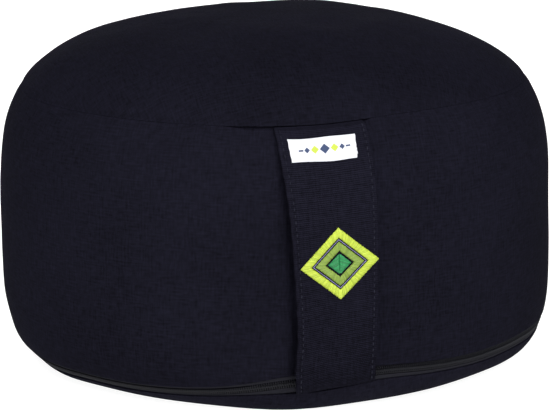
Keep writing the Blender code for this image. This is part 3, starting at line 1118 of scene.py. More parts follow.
@dataclass
class Panels:
    """The filled body and the cloth round it."""

    drum: Drum
    strap: "CarryStrap"  # the carry strap, whose edge presses into the side
    columns: int = 576  # how many columns of points go round
    thick: float = 1.5 * MM  # the cloth's thickness
    zip_floor: float = 2.8 * MM  # how deep the channel for the zip is
    eye: float = 0.8 * MM  # the radius of the small face in the middle of each panel
    rim: Rim = Rim()  # how the panels' edges turn in at the top seam
    low_rim: Rim = Rim(0.16 * MM, NO_SWELL)  # how the under panel's edge turns in below the zip
    fold: Rim = Rim(0.6 * MM, NO_SWELL, 6)  # how the side panel's edge turns in over the zip
    sewn: float = 0.06 * MM  # half of what is left between two edges that are sewn together
    overhang: Swell = bulge(0.17, -9, 7)  # how far the top panel's edge stands over the strap's end
    # How high the small gathers at a seam are, how far they reach and how far apart.
    pucker: Triple = (0.16 * MM, 7.0 * MM, 7.5 * MM)
    full_at: float = 0.8 * MM  # how far from the seam they come up
    # How far they stray sideways, in radians of a wave, and over how many waves that comes round.
    stray: Pair = (1.7, 9.1)
    # How unlike they are in size, as a share, and over how many waves that comes round.
    unlike: Pair = (0.4, 23.7)
    # The angles between which the side is let in for the strap's end.
    strap_bed: Pair = (-17 * DEGREE, 6.7 * DEGREE)
    # How deep, over what distance down, and over what angles it fades to the left and to the right.
    strap_sink: tuple[float, float, float, float] = (2.3 * MM, 8.0 * MM, 7 * DEGREE, 3.2 * DEGREE)
    # How deep the strap's left edge has pressed the side in, how far to each side that reaches, and how
    # far outside the edge its middle is.
    crease: Triple = (3.3 * MM, 1.05 * MM, -0.1 * MM)
    # The shares of the strap's length over which the crease comes in at the top and goes at the foot.
    crease_ends: Pair = (0.25, 0.06)
    crease_gain: float = 0.45  # how much of its depth it gains on the way down, as a share
    raised_far: float = 3 * MM  # how far in from its edge a panel is raised over the strap's end
    allowance: float = 10.0 * MM  # the cloth that is turned in at a seam
    # How many rows of points the body has below the top panel, on its side, between the zip and the
    # floor, and on its base.
    body_rows: tuple[int, int, int, int] = (12, 106, 6, 5)
    top_rows: tuple[int, float] = (70, 1.7)  # how many the top has, and how they crowd to its edge
    # How many the under panel has on the floor and above it, and how those crowd to its edge.
    under_rows: tuple[int, int, float] = (10, 32, 1.5)
    back_step: int = 6  # how many rows of a panel's face there are to one of its back

    def __post_init__(self) -> None:
        """Lays out the columns, from the zip's middle round to it again."""
        self._angles = self.drum.zip_middle + np.arange(self.columns + 1) * math.tau / self.columns

    def _rows(self, downs: list[Array], lifts: list[Array | float]) -> Array:
        """Loops of points at those distances down and lifts.

        Args:
            downs: the distances, a row for each loop.
            lifts: the lifts, likewise.

        Returns:
            The points, (loops, columns, 3).
        """
        angles = self._angles[:-1]
        lifts = [np.broadcast_to(lift, self.columns + 1)[:-1] for lift in lifts]
        return self.drum.at(angles[None, :], np.array(downs)[:, :-1], np.array(lifts))

    def _gathers(self, away: Array) -> Array:
        """The small gathers at that distance from a seam.

        Args:
            away: the distance of each column.

        Returns:
            The lifts.
        """
        high, far, apart = self.pucker
        around = self._angles * self.drum.waist_radius
        stray, unlike = self.stray, self.unlike
        strays = stray[0] * np.sin(around * math.tau / (stray[1] * apart))
        waves = np.cos(math.tau * around / apart + strays)
        size = 1 - unlike[0] + unlike[0] * np.sin(around * math.tau / (unlike[1] * apart))
        return high * waves * size * np.exp(-away / far) * ease(away / self.full_at)

    def _bed(self, down: Array) -> Array:
        """How far the side is let in where the strap's end is sewn.

        Args:
            down: the distance down of each column.

        Returns:
            The depths.
        """
        deep, far, fade_left, fade_right = self.strap_sink
        angle = wrapped(self._angles)
        to_left, to_right = self.strap_bed[0] - angle, angle - self.strap_bed[1]
        outside = np.maximum(np.maximum(to_left / fade_left, to_right / fade_right), 0.0)
        reach = bell(down - self.drum.to_top_seam(angle), far)
        return deep * (1 - ease(outside)) * reach

    def _pressed(self, down: Array) -> Array:
        """How far the side is pressed in along the strap's left edge.

        Args:
            down: the distance down of each column.

        Returns:
            The depths.
        """
        deep, far, outside = self.crease
        aside, share = self.strap.from_left_edge(wrapped(self._angles), down)
        at_top, at_foot = self.crease_ends
        held = ease(share / at_top) * ease((1 - share) / at_foot)
        deeper = 1 - self.crease_gain + self.crease_gain * share
        return deep * deeper * held * bell(aside + outside, far)

    def _on_disc(self, away: list[Array]) -> Array:
        """Places on a disc of flat cloth, at those distances from its middle."""
        away = np.array(away)
        return np.stack([away * np.sin(self._angles), -away * np.cos(self._angles)], axis=-1)

    def make_body(self) -> Piece:
        """The filled body, whose outside between the seams is the side panel.

        Returns:
            The object.
        """
        drum, angles = self.drum, self._angles
        bed = -(self.thick + GAP)
        on_end, on_side, on_round, on_base = self.body_rows
        top, foot = drum.to_top_seam(angles) + self.sewn, drum.to_zip_top(angles)
        under, floor = drum.to_zip_foot(angles), drum.to_floor(angles)
        downs = [self.eye + (top - self.eye) * share for share in crowded(on_end)]
        lifts: list[Array | float] = [bed] * len(downs)
        away, lift = self.rim.rows(angles)
        for inwards, depth in zip(away, lift):
            downs.append(top + inwards)
            lifts.append(depth - self._bed(downs[-1]))
        inside, end = top + self.rim.reach(angles), foot - self.fold.radius
        for share in crowded(on_side)[1:-1]:
            down = inside + (end - inside) * share
            away_top, away_foot = down - top, foot - down
            gathers = self._gathers(away_top) + self._gathers(away_foot) * drum.shut(angles)
            downs.append(down)
            lifts.append(gathers - self._bed(down) - self._pressed(down))
        away, lift = self.fold.rows(angles)
        for inwards, depth in zip(away[::-1], lift[::-1]):
            downs.append(foot - inwards)
            lifts.append(depth)
        downs += [foot, under]
        lifts += [-self.zip_floor] * 2
        downs += [under + GAP / 2 + (floor - under) * share for share in np.linspace(0, 1, on_round)]
        middle = drum.to_middle(angles) - self.eye
        downs += [floor + (middle - floor) * share for share in np.linspace(0, 1, on_base)[1:]]
        lifts += [bed] * (len(downs) - len(lifts))
        cloth = [np.stack([angles * drum.waist_radius, down], axis=-1) for down in downs]
        draft = Draft()
        draft.sleeve(self._rows(downs, lifts), np.array(cloth))
        made = draft.build("filled_body", Cloths.SIDE.value)
        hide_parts("filled_side")
        return made

    def _make_disc(
        self, name: str, side: Cloths, outer: list[Array], from_middle: list[Array], rim: Rim, over: Swell
    ) -> Piece:
        """Makes a panel from its outer rows.

        Args:
            name: its name.
            side: which of the cloths it is.
            outer: distances down of its rows, from its middle out to where its edge turns in.
            from_middle: the same rows' distances from its own middle.
            rim: how its edge turns in.
            over: how far its edge stands over what is sewn into its seam.

        Returns:
            The object.
        """
        away, depth = rim.rows(self._angles)
        reach = rim.reach(self._angles)
        way = np.sign(outer[-1] - outer[0])
        edge = outer[-1] + way * reach
        stand = over.at(self._angles)
        inside = [np.abs(edge - down) for down in outer]
        lifts = [self._gathers(far) + stand * np.exp(-far / self.raised_far) for far in inside]
        downs = outer + [edge - way * inwards for inwards in away[::-1][1:]]
        lifts += [lift + stand for lift in depth[::-1][1:]]
        flat = from_middle + [from_middle[-1] + reach] * (len(downs) - len(outer))
        back = list(range(0, len(outer), self.back_step))[::-1]
        downs += [edge] + [outer[i] for i in back]
        lifts += [-self.thick] * (len(back) + 1)
        flat += [flat[-1]] + [from_middle[i] for i in back]
        draft = Draft()
        draft.sleeve(self._rows(downs, lifts), self._on_disc(flat))
        made = draft.build(name, side.value)
        cut = 2 * (float(np.mean(flat[len(outer)])) + self.allowance)
        return made

    def make_top(self) -> Piece:
        """The crowned disc above the top seam.

        Returns:
            The object.
        """
        end = self.drum.to_top_seam(self._angles) - self.sewn - self.rim.reach(self._angles)
        count, crowding = self.top_rows
        shares = 1 - (1 - np.linspace(0, 1, count)) ** crowding
        rows = [self.eye + (end - self.eye) * share for share in shares]
        made = self._make_disc("top_cloth", Cloths.TOP, rows, rows, self.rim, self.overhang)
        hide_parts("top_panel")
        return made

    def make_under(self) -> Piece:
        """The disc that the cushion rests on, rounded up to the seam under the zip.

        Returns:
            The object.
        """
        middle = self.drum.to_middle(self._angles)
        end = self.drum.to_zip_foot(self._angles) + self.sewn + self.low_rim.reach(self._angles)
        floor = self.drum.to_floor(self._angles)
        on_floor, above, crowding = self.under_rows
        start = middle - self.eye
        rows = [start + (floor - start) * share for share in np.linspace(0, 1, on_floor)]
        shares = 1 - (1 - np.linspace(0, 1, above)[1:]) ** crowding
        rows += [floor + (end - floor) * share for share in shares]
        flat = [middle - row for row in rows]
        made = self._make_disc("under_cloth", Cloths.UNDER, rows, flat, self.low_rim, NO_SWELL)
        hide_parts("under_panel")
        return made


# ---- the strap


@dataclass(frozen=True)
class StrapRow:
    """The strap at one place down its length."""

    down: float  # the place, as a share of its length
    angle: float  # where its middle is
    half: float  # half its width
    off: float  # how far it stands off the side
    curl: float  # how much further its left edge does


@dataclass
class CarryStrap:
    """The carry strap and what is sewn to it."""

    drum: Drum
    thick: Pair = (2.4 * MM, 1.2 * MM)  # its thickness, and what a seam presses it to at its ends
    # How deep its ends are tucked below the form, at the top and at the foot.
    sink: Pair = (2.0 * MM, 1.3 * MM)
    tuck: Pair = (4.5 * MM, 2.2 * MM)  # the run over which they sink, at the top and at the foot
    # How much less its top end is tucked on the right, and the share of half its width over which that
    # comes.
    less_sunk: Pair = (0.5 * MM, 0.6)
    foot_gap: float = 0.9 * MM  # how far above the seam under the zip it turns in
    foot_slack: Swell = bulge(1.45, -2.0, 5.5)  # how much further that is near its middle
    rows: tuple[StrapRow, ...] = (  # its places, from the top seam down
        StrapRow(0.00, -2.4 * DEGREE, 27.9 * MM, 0.0, 0.0),
        StrapRow(0.08, -2.0 * DEGREE, 26.6 * MM, 1.5 * MM, 0.4 * MM),
        StrapRow(0.27, -1.0 * DEGREE, 24.2 * MM, 4.4 * MM, 1.2 * MM),
        StrapRow(0.50, -0.43 * DEGREE, 22.7 * MM, 5.8 * MM, 2.0 * MM),
        StrapRow(0.78, -0.03 * DEGREE, 21.9 * MM, 5.4 * MM, 2.8 * MM),
        StrapRow(0.93, 0.0 * DEGREE, 22.6 * MM, 2.9 * MM, 2.9 * MM),
        StrapRow(1.00, 0.5 * DEGREE, 22.9 * MM, 0.0, 0.0),
    )
    stitch_in: Pair = (2.9 * MM, 2.4 * MM)  # how far inside its left and its right edge it is topstitched
    stitch: Triple = (3.45 * MM, 2.1 * MM, 0.31 * MM)  # the pitch, the length and the radius of the stitches
    stitch_from: float = 2.6 * MM  # how far below the top end the first of them starts
    furrow: Pair = (0.30 * MM, 1.0 * MM)  # how deep the stitches draw it in, and how far to each side
    hole: Pair = (0.45 * MM, 0.55 * MM)  # the same for the needle's holes
    # How high the cloth puffs up outside the stitches, where, as a share of the way in to them, and how
    # far to each side.
    puff: Triple = (0.22 * MM, 0.42, 1.1 * MM)
    # How far its edges waver, how long a wave is, and how far in that reaches.
    waver: Triple = (0.12 * MM, 11 * MM, 3 * MM)
    plain_ends: float = 0.03  # the share of its length at each end where all that fades out
    bead_points: int = 9  # how many points a stitch has
    blunt: float = 0.12  # how blunt a stitch's ends are
    skewed: float = 0.12 * MM  # how far a stitch can lie askew
    laid: Pair = (0.12 * MM, 0.75 * MM)  # how high a stitch lies over its furrow, and how deep its ends go
    stitched_at: float = 0.2  # how far down the form the way off it is taken for the stitches
    top_gap: float = 1.5 * GAP  # how far below the top seam it comes out
    hem: float = 6.4 * MM  # the width along each edge where its points lie close together
    # How many rows it has, and how many columns in a hem and in half of the middle.
    points: tuple[int, int, int] = (360, 14, 12)
    even: float = 0.6  # how evenly the rows lie: with 0 they crowd to the ends, with 1 not at all
    back_points: int = 10  # how many columns its back has
    fold_points: int = 9  # how many lie round a folded edge, with both of its ends

    def row(self, down: Array) -> tuple[Array, Array, Array, Array]:
        """Its angle, half width, stand-off and curl at shares of its length.

        Args:
            down: the shares.

        Returns:
            Those four.
        """
        at = np.array([row.down for row in self.rows])
        i = np.clip(np.searchsorted(at, down, "right") - 1, 0, len(at) - 2)
        span = at[i + 1] - at[i]
        t = (down - at[i]) / span
        found = []
        for key in ("angle", "half", "off", "curl"):
            values = np.array([getattr(row, key) for row in self.rows])
            slopes = np.gradient(values, at)
            start, end = values[i], values[i + 1]
            bend = (1 - t) * (slopes[i] * span - end + start)
            bend = bend - t * (slopes[i + 1] * span - end + start)
            found.append(start + (end - start) * t + t * (1 - t) * bend)
        return tuple(found)

    def length(self) -> float:
        """Its length down the middle."""
        here = np.array(0.0)
        return float(self.drum.to_zip_foot(here) - self.drum.to_top_seam(here) - self.top_gap - self.foot_gap)

    def from_left_edge(self, angle: Array, down: Array) -> tuple[Array, Array]:
        """Where places on the form are, seen from the strap.

        Args:
            angle: the angle of each.
            down: its distance down the cloth.

        Returns:
            The distance to the right of the strap's left edge, and the share of its length.
        """
        first = self.drum.to_top_seam(angle)
        share = np.clip((down - first) / (self.drum.to_zip_foot(angle) - first), 0.0, 1.0)
        middle, half, _, _ = self.row(share)
        return (angle - middle) * self.drum.waist_radius + half, share

    def at(self, down: Array, aside: Array, lift: Array, off: Array | float = 0.0) -> Array:
        """Places in the strap.

        Args:
            down: shares of its length.
            aside: distances to the right of its middle.
            lift: 0 on its back and 1 on its face.
            off: a further distance off the face.

        Returns:
            The points.
        """
        down, aside, lift, off = np.broadcast_arrays(down, aside, lift, off)
        angle, half, stand, curl = self.row(down)
        angle = angle + aside / self.drum.waist_radius
        first = self.drum.to_top_seam(angle) + self.top_gap
        length = self.drum.to_zip_foot(angle) - self.foot_gap - self.foot_slack.at(angle) - first
        top_tuck = 1 - ease(down * length / self.tuck[0])
        foot_tuck = 1 - ease((1 - down) * length / self.tuck[1])
        tucked = top_tuck + foot_tuck
        less, run = self.less_sunk
        top_sink = self.sink[0] - less * ease(aside / half / run)
        sunk = top_sink * top_tuck + self.sink[1] * foot_tuck
        flat = aside**2 / (2 * self.drum.waist_radius) * np.sin(math.pi * down)
        left = np.maximum(-aside / half, 0.0)
        back = GAP + np.maximum(stand, 0.0) + flat + curl * left**2 - sunk
        thick = self.thick[0] + (self.thick[1] - self.thick[0]) * tucked
        return self.drum.at(angle, first + length * down, back + thick * lift + off)

    def _furrow(self, down: Array, inside: Array, row: Array) -> Array:
        """How far the topstitching draws the face in.

        Args:
            down: shares of the strap's length.
            inside: distances inside its edge.
            row: how far inside that edge the stitches are.

        Returns:
            The depths, below 0 where the cloth puffs up beside the stitches.
        """
        deep, far = self.furrow
        hole_deep, hole_far = self.hole
        run = down * self.length()
        line = deep * ease(run / self.stitch_from - 0.5) * bell(inside - row, far)
        turns = (run - self.stitch_from) / self.stitch[0]
        along = (turns - np.round(turns)) * self.stitch[0]
        hole = np.exp(-((along / hole_far) ** 2) - ((inside - row) / hole_far) ** 2)
        puff_high, puff_in, puff_far = self.puff
        puff = puff_high * bell(inside - puff_in * row, puff_far)
        return line + hole_deep * hole * (run > self.stitch_from / 2) - puff

    def make_band(self) -> Piece:
        """The strap's own cloth, doubled, with folded edges.

        Returns:
            The object.
        """
        rows, hem, middle = self.points
        down = crowded(rows) * (1 - self.even) + np.linspace(0, 1, rows) * self.even
        down = down[:, None]
        half = self.row(down)[1]
        round_edge = self.thick[0] / 2
        near = np.linspace(round_edge, self.hem, hem)[None, :] + 0 * down
        share = np.linspace(0, 1, middle + 1)[None, 1:]
        inner = np.concatenate([near, self.hem + (half - self.hem) * share], axis=1)
        face = np.concatenate([inner - half, (half - inner)[:, -2::-1]], axis=1)
        back = (half - round_edge) * np.linspace(1, -1, self.back_points)[None, :]
        bend = np.linspace(0, math.pi, self.fold_points)[None, 1:-1]
        bulge = half - round_edge + round_edge * np.sin(bend)
        aside = np.concatenate([face, bulge, back, -bulge], axis=1)
        level = [np.ones_like(face), 0.5 + 0.5 * np.cos(bend) + 0 * down]
        level += [np.zeros_like(back), 0.5 - 0.5 * np.cos(bend) + 0 * down]
        lift = np.concatenate(level, axis=1)
        inside = half - np.abs(aside)
        sign = np.where(lift > 0.5, -1.0, 1.0)
        wave_high, wave_long, wave_in = self.waver
        wavy = wave_high * np.sin(down * self.length() * math.tau / wave_long + np.sign(aside))
        near_edge = ease(1 - inside / wave_in)
        ended = ease(down / self.plain_ends) * ease((1 - down) / self.plain_ends)
        aside = aside + np.sign(aside) * wavy * near_edge * ended
        off = sign * self._furrow(down, inside, np.where(aside < 0, *self.stitch_in)) * ended
        loops = self.at(down, aside, lift, off)
        around = np.concatenate([aside, aside[:, :1]], axis=1)
        cloth = np.stack(np.broadcast_arrays(around, down * self.length()), axis=-1)
        draft = Draft()
        draft.sleeve(loops, cloth)
        made = draft.build("strap_cloth", Cloths.STRAP.value)
        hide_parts("carry_strap")
        self.length()
        return made

    def make_stitches(self) -> Piece:
        """The topstitching along both edges, one bead of thread to a stitch.

        Returns:
            The object.
        """
        pitch, long, radius = self.stitch
        count = int((self.length() - 2 * self.stitch_from) / pitch)
        draft = Draft()
        share = np.linspace(-0.5, 0.5, self.bead_points)
        swell = np.sqrt(np.clip(1 - (2 * share) ** 4, self.blunt, 1))
        over, ends = self.laid
        for side, shades in ((-1, chance(count, 1)), (1, chance(count, 2))):
            skew = chance(count, 3 + side)
            for i in range(count):
                down = (self.stitch_from + (i + 0.5) * pitch + share * long) / self.length()
                half = self.row(down)[1]
                aside = side * (half - self.stitch_in[side > 0]) + skew[i] * self.skewed * share
                sunk = over - self.furrow[0] - ends * (2 * share) ** 4
                path = self.at(down, aside, np.ones_like(share), sunk)
                up = self.drum.off(self.row(down)[0], self.stitched_at + 0 * down)
                draft.strand(path, up, radius * swell, shade=shades[i])
        made = draft.build("strap_topstitching", Threads.TOPSTITCH.value)
        return made


@dataclass
class Label:
    """The woven label on the strap."""

    strap: CarryStrap
    size: Pair = (38.2 * MM, 14.4 * MM)  # its width and height
    thick: float = 0.8 * MM
    down: float = 15.47 * MM  # from the strap's top end to its middle
    aside: float = -0.6 * MM  # how far right of the strap's middle it is
    turn: float = 1.2 * DEGREE  # how far it is turned
    points: tuple[int, int] = (72, 28)  # how many points it has across and down
    # How far each corner is drawn right and down, from the top left one round.
    drawn: tuple[Pair, ...] = (
        (-1.3 * MM, 0.5 * MM),
        (-0.2 * MM, 1.2 * MM),
        (-1.8 * MM, 0.1 * MM),
        (0.1 * MM, -1.6 * MM),
    )
    bow: float = 0.22 * MM  # how far its long edges bow in and out
    ragged: float = 0.10 * MM  # how far its ends do
    soft: float = 0.35 * MM  # the radius that its edges are rounded to
    # How far it billows between its stitches, and how far inside its edge that is in full.
    billow: Pair = (0.12 * MM, 2 * MM)
    stitch: Triple = (2.2 * MM, 1.7 * MM, 0.15 * MM)  # the pitch, the length and the radius of its stitches
    stitch_in: float = 1.3 * MM  # how far inside its ends they run
    short: float = 1.5 * MM  # how much shorter their row is than the label is high
    drawn_in: Pair = (0.18 * MM, 0.6 * MM)  # how deep they draw it in, and how far to each side
    # How deep a stitch's ends go in, and how far its middle stands up from there.
    laid: Pair = (0.12 * MM, 0.16 * MM)
    stitch_points: int = 7  # how many points a stitch has

    def at(self, right: Array, below: Array, off: Array | float) -> Array:
        """Places on the label, from its middle: to the right, downwards and off the strap.

        Args:
            right: to the right.
            below: downwards.
            off: off the strap.

        Returns:
            The points.
        """
        turned = right * math.cos(self.turn) - below * math.sin(self.turn)
        lower = below * math.cos(self.turn) - right * math.sin(self.turn)
        down = (self.down + lower) / self.strap.length()
        return self.strap.at(down, self.aside + turned, np.ones_like(down), off)

    def make_ribbon(self) -> Piece:
        """The label's ribbon, with soft edges and slightly uneven sides.

        Returns:
            The object.
        """
        across, below = self.points
        half_wide, half_high = self.size[0] / 2, self.size[1] / 2
        x = np.linspace(-1, 1, across)[None, :]
        y = np.linspace(-1, 1, below)[:, None]
        bow = self.bow * np.sin(4.1 * x + 0.7) * np.sign(y) * np.abs(y) ** 3
        ragged = self.ragged * np.sin(9.0 * y + 2 * x) * x * np.abs(x) ** 5
        right, low = x * half_wide + ragged, y * half_high + bow
        for (turn_x, turn_y), (aside, down) in zip(((-1, -1), (1, -1), (1, 1), (-1, 1)), self.drawn):
            share = (1 + turn_x * x) * (1 + turn_y * y) / 4
            right, low = right + share * aside, low + share * down
        to_edge = np.minimum((1 - np.abs(x)) * half_wide, (1 - np.abs(y)) * half_high)
        soft = self.soft
        drop = soft - np.sqrt(np.clip(soft**2 - np.clip(soft - to_edge, 0, soft) ** 2, 0, None))
        billow_high, billow_in = self.billow
        billow = billow_high * np.cos(3 * x + 1) * np.cos(2 * y) * ease(to_edge / billow_in)
        deep, far = self.drawn_in
        seam = deep * bell((1 - np.abs(x)) * half_wide - self.stitch_in, far)
        face = self.at(right, low, GAP + self.thick - drop + billow - seam)
        back = self.at(right, low, GAP)
        draft = Draft()
        draft.ribbon(face, back, np.stack([right, low], axis=-1))
        made = draft.build("label_ribbon", LabelWeave(), SHARP)
        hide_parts("label")
        return made

    def make_stitches(self) -> Piece:
        """The stitches down both of its ends.

        Returns:
            The object.
        """
        pitch, long, radius = self.stitch
        count = int((self.size[1] - self.short) / pitch)
        share = np.linspace(-0.5, 0.5, self.stitch_points)
        sunk, high = self.laid
        draft = Draft()
        for side in (-1, 1):
            shades = chance(count, 5 + side)
            for i in range(count):
                below = (i + 0.5 - count / 2) * pitch + share * long
                right = side * (self.size[0] / 2 - self.stitch_in) + 0 * below
                off = GAP + self.thick - sunk + high * (1 - (2 * share) ** 4)
                path = self.at(right, below, off)
                up = np.cross(path[-1] - path[0], self.at(right[:1] + MM, below[:1], off[:1])[0] - path[0])
                draft.strand(path, up, radius, shade=shades[i])
        made = draft.build("label_stitching", Threads.LABEL.value)
        return made


@dataclass
class Embroidery:
    """The satin-stitched figure on the strap: lozenges, one inside the other."""

    strap: CarryStrap
    # Its middle, as a share of the strap's length and a distance to the right.
    middle: Pair = (0.508, 1.6 * MM)
    height: float = 0.975  # its height, as a share of its width
    frame: Pair = (21.0 * MM, 15.4 * MM)  # the half widths of the outer lozenge's outside and inside
    ring: Pair = (13.0 * MM, 7.8 * MM)  # the same for the middle one
    heart: float = 6.0 * MM  # the half width of the filled one
    line: float = 14.2 * MM  # the half width of the thin line between the outer two
    pitch: float = 0.36 * MM  # how far apart the threads lie
    radius: float = 0.23 * MM  # the threads' radius
    padded: float = 0.42 * MM  # how far the middle of a long stitch stands up
    loose: float = 0.16 * MM  # how far a stitch's ends stray
    points: int = 7  # how many points a stitch has
    off_cloth: float = 0.04 * MM  # how far off the cloth a stitch's ends lie
    fullness: float = 0.55  # how full a stitch is: the lower, the flatter along its middle
    slant: float = 0.45  # how far the heart's stitches fall for each step outwards
    closer: float = 0.92  # their pitch, as a share of the bands'
    step: float = 0.1 * MM  # the steps in which they are measured out
    least: float = 0.6 * MM  # the shortest of them
    tidier: Pair = (0.5, 0.9)  # how far they stray and stand up, as shares of the bands' threads
    parting: float = 0.05 * MM  # how far from the heart's middle they start
    back_stitches: tuple[int, float] = (9, 0.02)  # how many a side of the thin line has, and their gaps
    back_high: float = 0.2 * MM  # how far those stand up

    def at(self, right: Array, below: Array, off: Array) -> Array:
        """Places over the strap's face, from the figure's middle."""
        down = self.middle[0] + below / self.strap.length()
        return self.strap.at(down, self.middle[1] + right, np.ones_like(down), off)

    def _stitch(self, draft: Draft, start: Array, end: Array, shade: float, high: float) -> None:
        """Adds one stitch.

        Args:
            draft: the mesh that it joins.
            start: where it comes up, to the right and below the figure's middle.
            end: where it goes down.
            shade: its shade.
            high: how far its middle stands up.
        """
        share = np.linspace(0, 1, self.points)
        spot = start + (end - start) * share[:, None]
        off = self.off_cloth + high * np.sin(math.pi * share) ** self.fullness
        path = self.at(spot[:, 0], spot[:, 1], off)
        near = self.at(spot[:, 0], spot[:, 1], off + MM)
        draft.strand(path, near - path, self.radius, sides=5, shade=shade)

    def _side(self, half: float, quarter: int) -> Array:
        """The two ends of a lozenge's side, counted round from the right."""
        turn = np.array([quarter, quarter + 1]) * math.pi / 2
        return np.stack([half * np.cos(turn), half * self.height * np.sin(turn)], axis=-1)

    def make_band(self, name: str, halves: Pair, thread: Threads) -> Piece:
        """A lozenge-shaped band of satin stitch.

        Args:
            name: the piece's name.
            halves: the half widths of its outside and its inside.
            thread: its thread.

        Returns:
            The object.
        """
        draft = Draft()
        count = int(halves[0] * math.sqrt(2) / self.pitch)
        for quarter in range(4):
            outer, inner = (self._side(half, quarter) for half in halves)
            seed = 10 * quarter + 1000 * halves[0]
            shades, stray, astray = (chance(count, seed + k) for k in range(3))
            for i in range(count):
                t = (i + 0.5) / count
                start = outer[0] + (outer[1] - outer[0]) * t
                end = inner[0] + (inner[1] - inner[0]) * t
                way = (end - start) / np.linalg.norm(end - start)
                start, end = start + way * stray[i] * self.loose, end + way * astray[i] * self.loose
                self._stitch(draft, start, end, shades[i], self.padded)
        made = draft.build(name, thread.value)
        return made

    def make_heart(self) -> Piece:
        """The filled lozenge, stitched in slanting rows to both sides of its middle.

        Returns:
            The object.
        """
        draft = Draft()
        half, high = self.heart, self.heart * self.height
        slant = self.slant
        astray, less_high = self.tidier
        count = int(2 * high / self.pitch / self.closer)
        for side in (-1, 1):
            shades, stray = chance(count, 71 + side), chance(count, 81 + side)
            for i in range(count):
                y = -high + (i + 0.5) * 2 * high / count
                start = np.array([side * self.parting, y])
                reach = 0.0
                while reach < half:
                    x, lower = reach, y + slant * reach
                    if x / half + abs(lower) / high >= 1:
                        break
                    reach += self.step
                if reach < self.least:
                    continue
                end = start + np.array([side * reach, slant * reach])
                end = end + np.array([side, slant]) * stray[i] * self.loose * astray
                self._stitch(draft, start, end, shades[i], self.padded * less_high)
        made = draft.build("embroidered_heart", Threads.EMERALD.value)
        return made

    def make_line(self) -> Piece:
        """The thin line of back stitches between the outer two lozenges.

        Returns:
            The object.
        """
        draft = Draft()
        count, gap = self.back_stitches
        for quarter in range(4):
            start, end = self._side(self.line, quarter)
            shades = chance(count, 91 + quarter)
            for i in range(count):
                first = start + (end - start) * (i + gap) / count
                last = start + (end - start) * (i + 1 - gap) / count
                self._stitch(draft, first, last, shades[i], self.back_high)
        made = draft.build("embroidered_line", Threads.LILAC.value)
        return made

    def make(self) -> list[Piece]:
        """The whole figure.

        Returns:
            Its pieces.
        """
        frame_band = self.make_band("embroidered_frame", self.frame, Threads.LIME)
        ring_band = self.make_band("embroidered_ring", self.ring, Threads.OLIVE)
        return [frame_band, ring_band, self.make_heart(), self.make_line()]


# ---- the zip


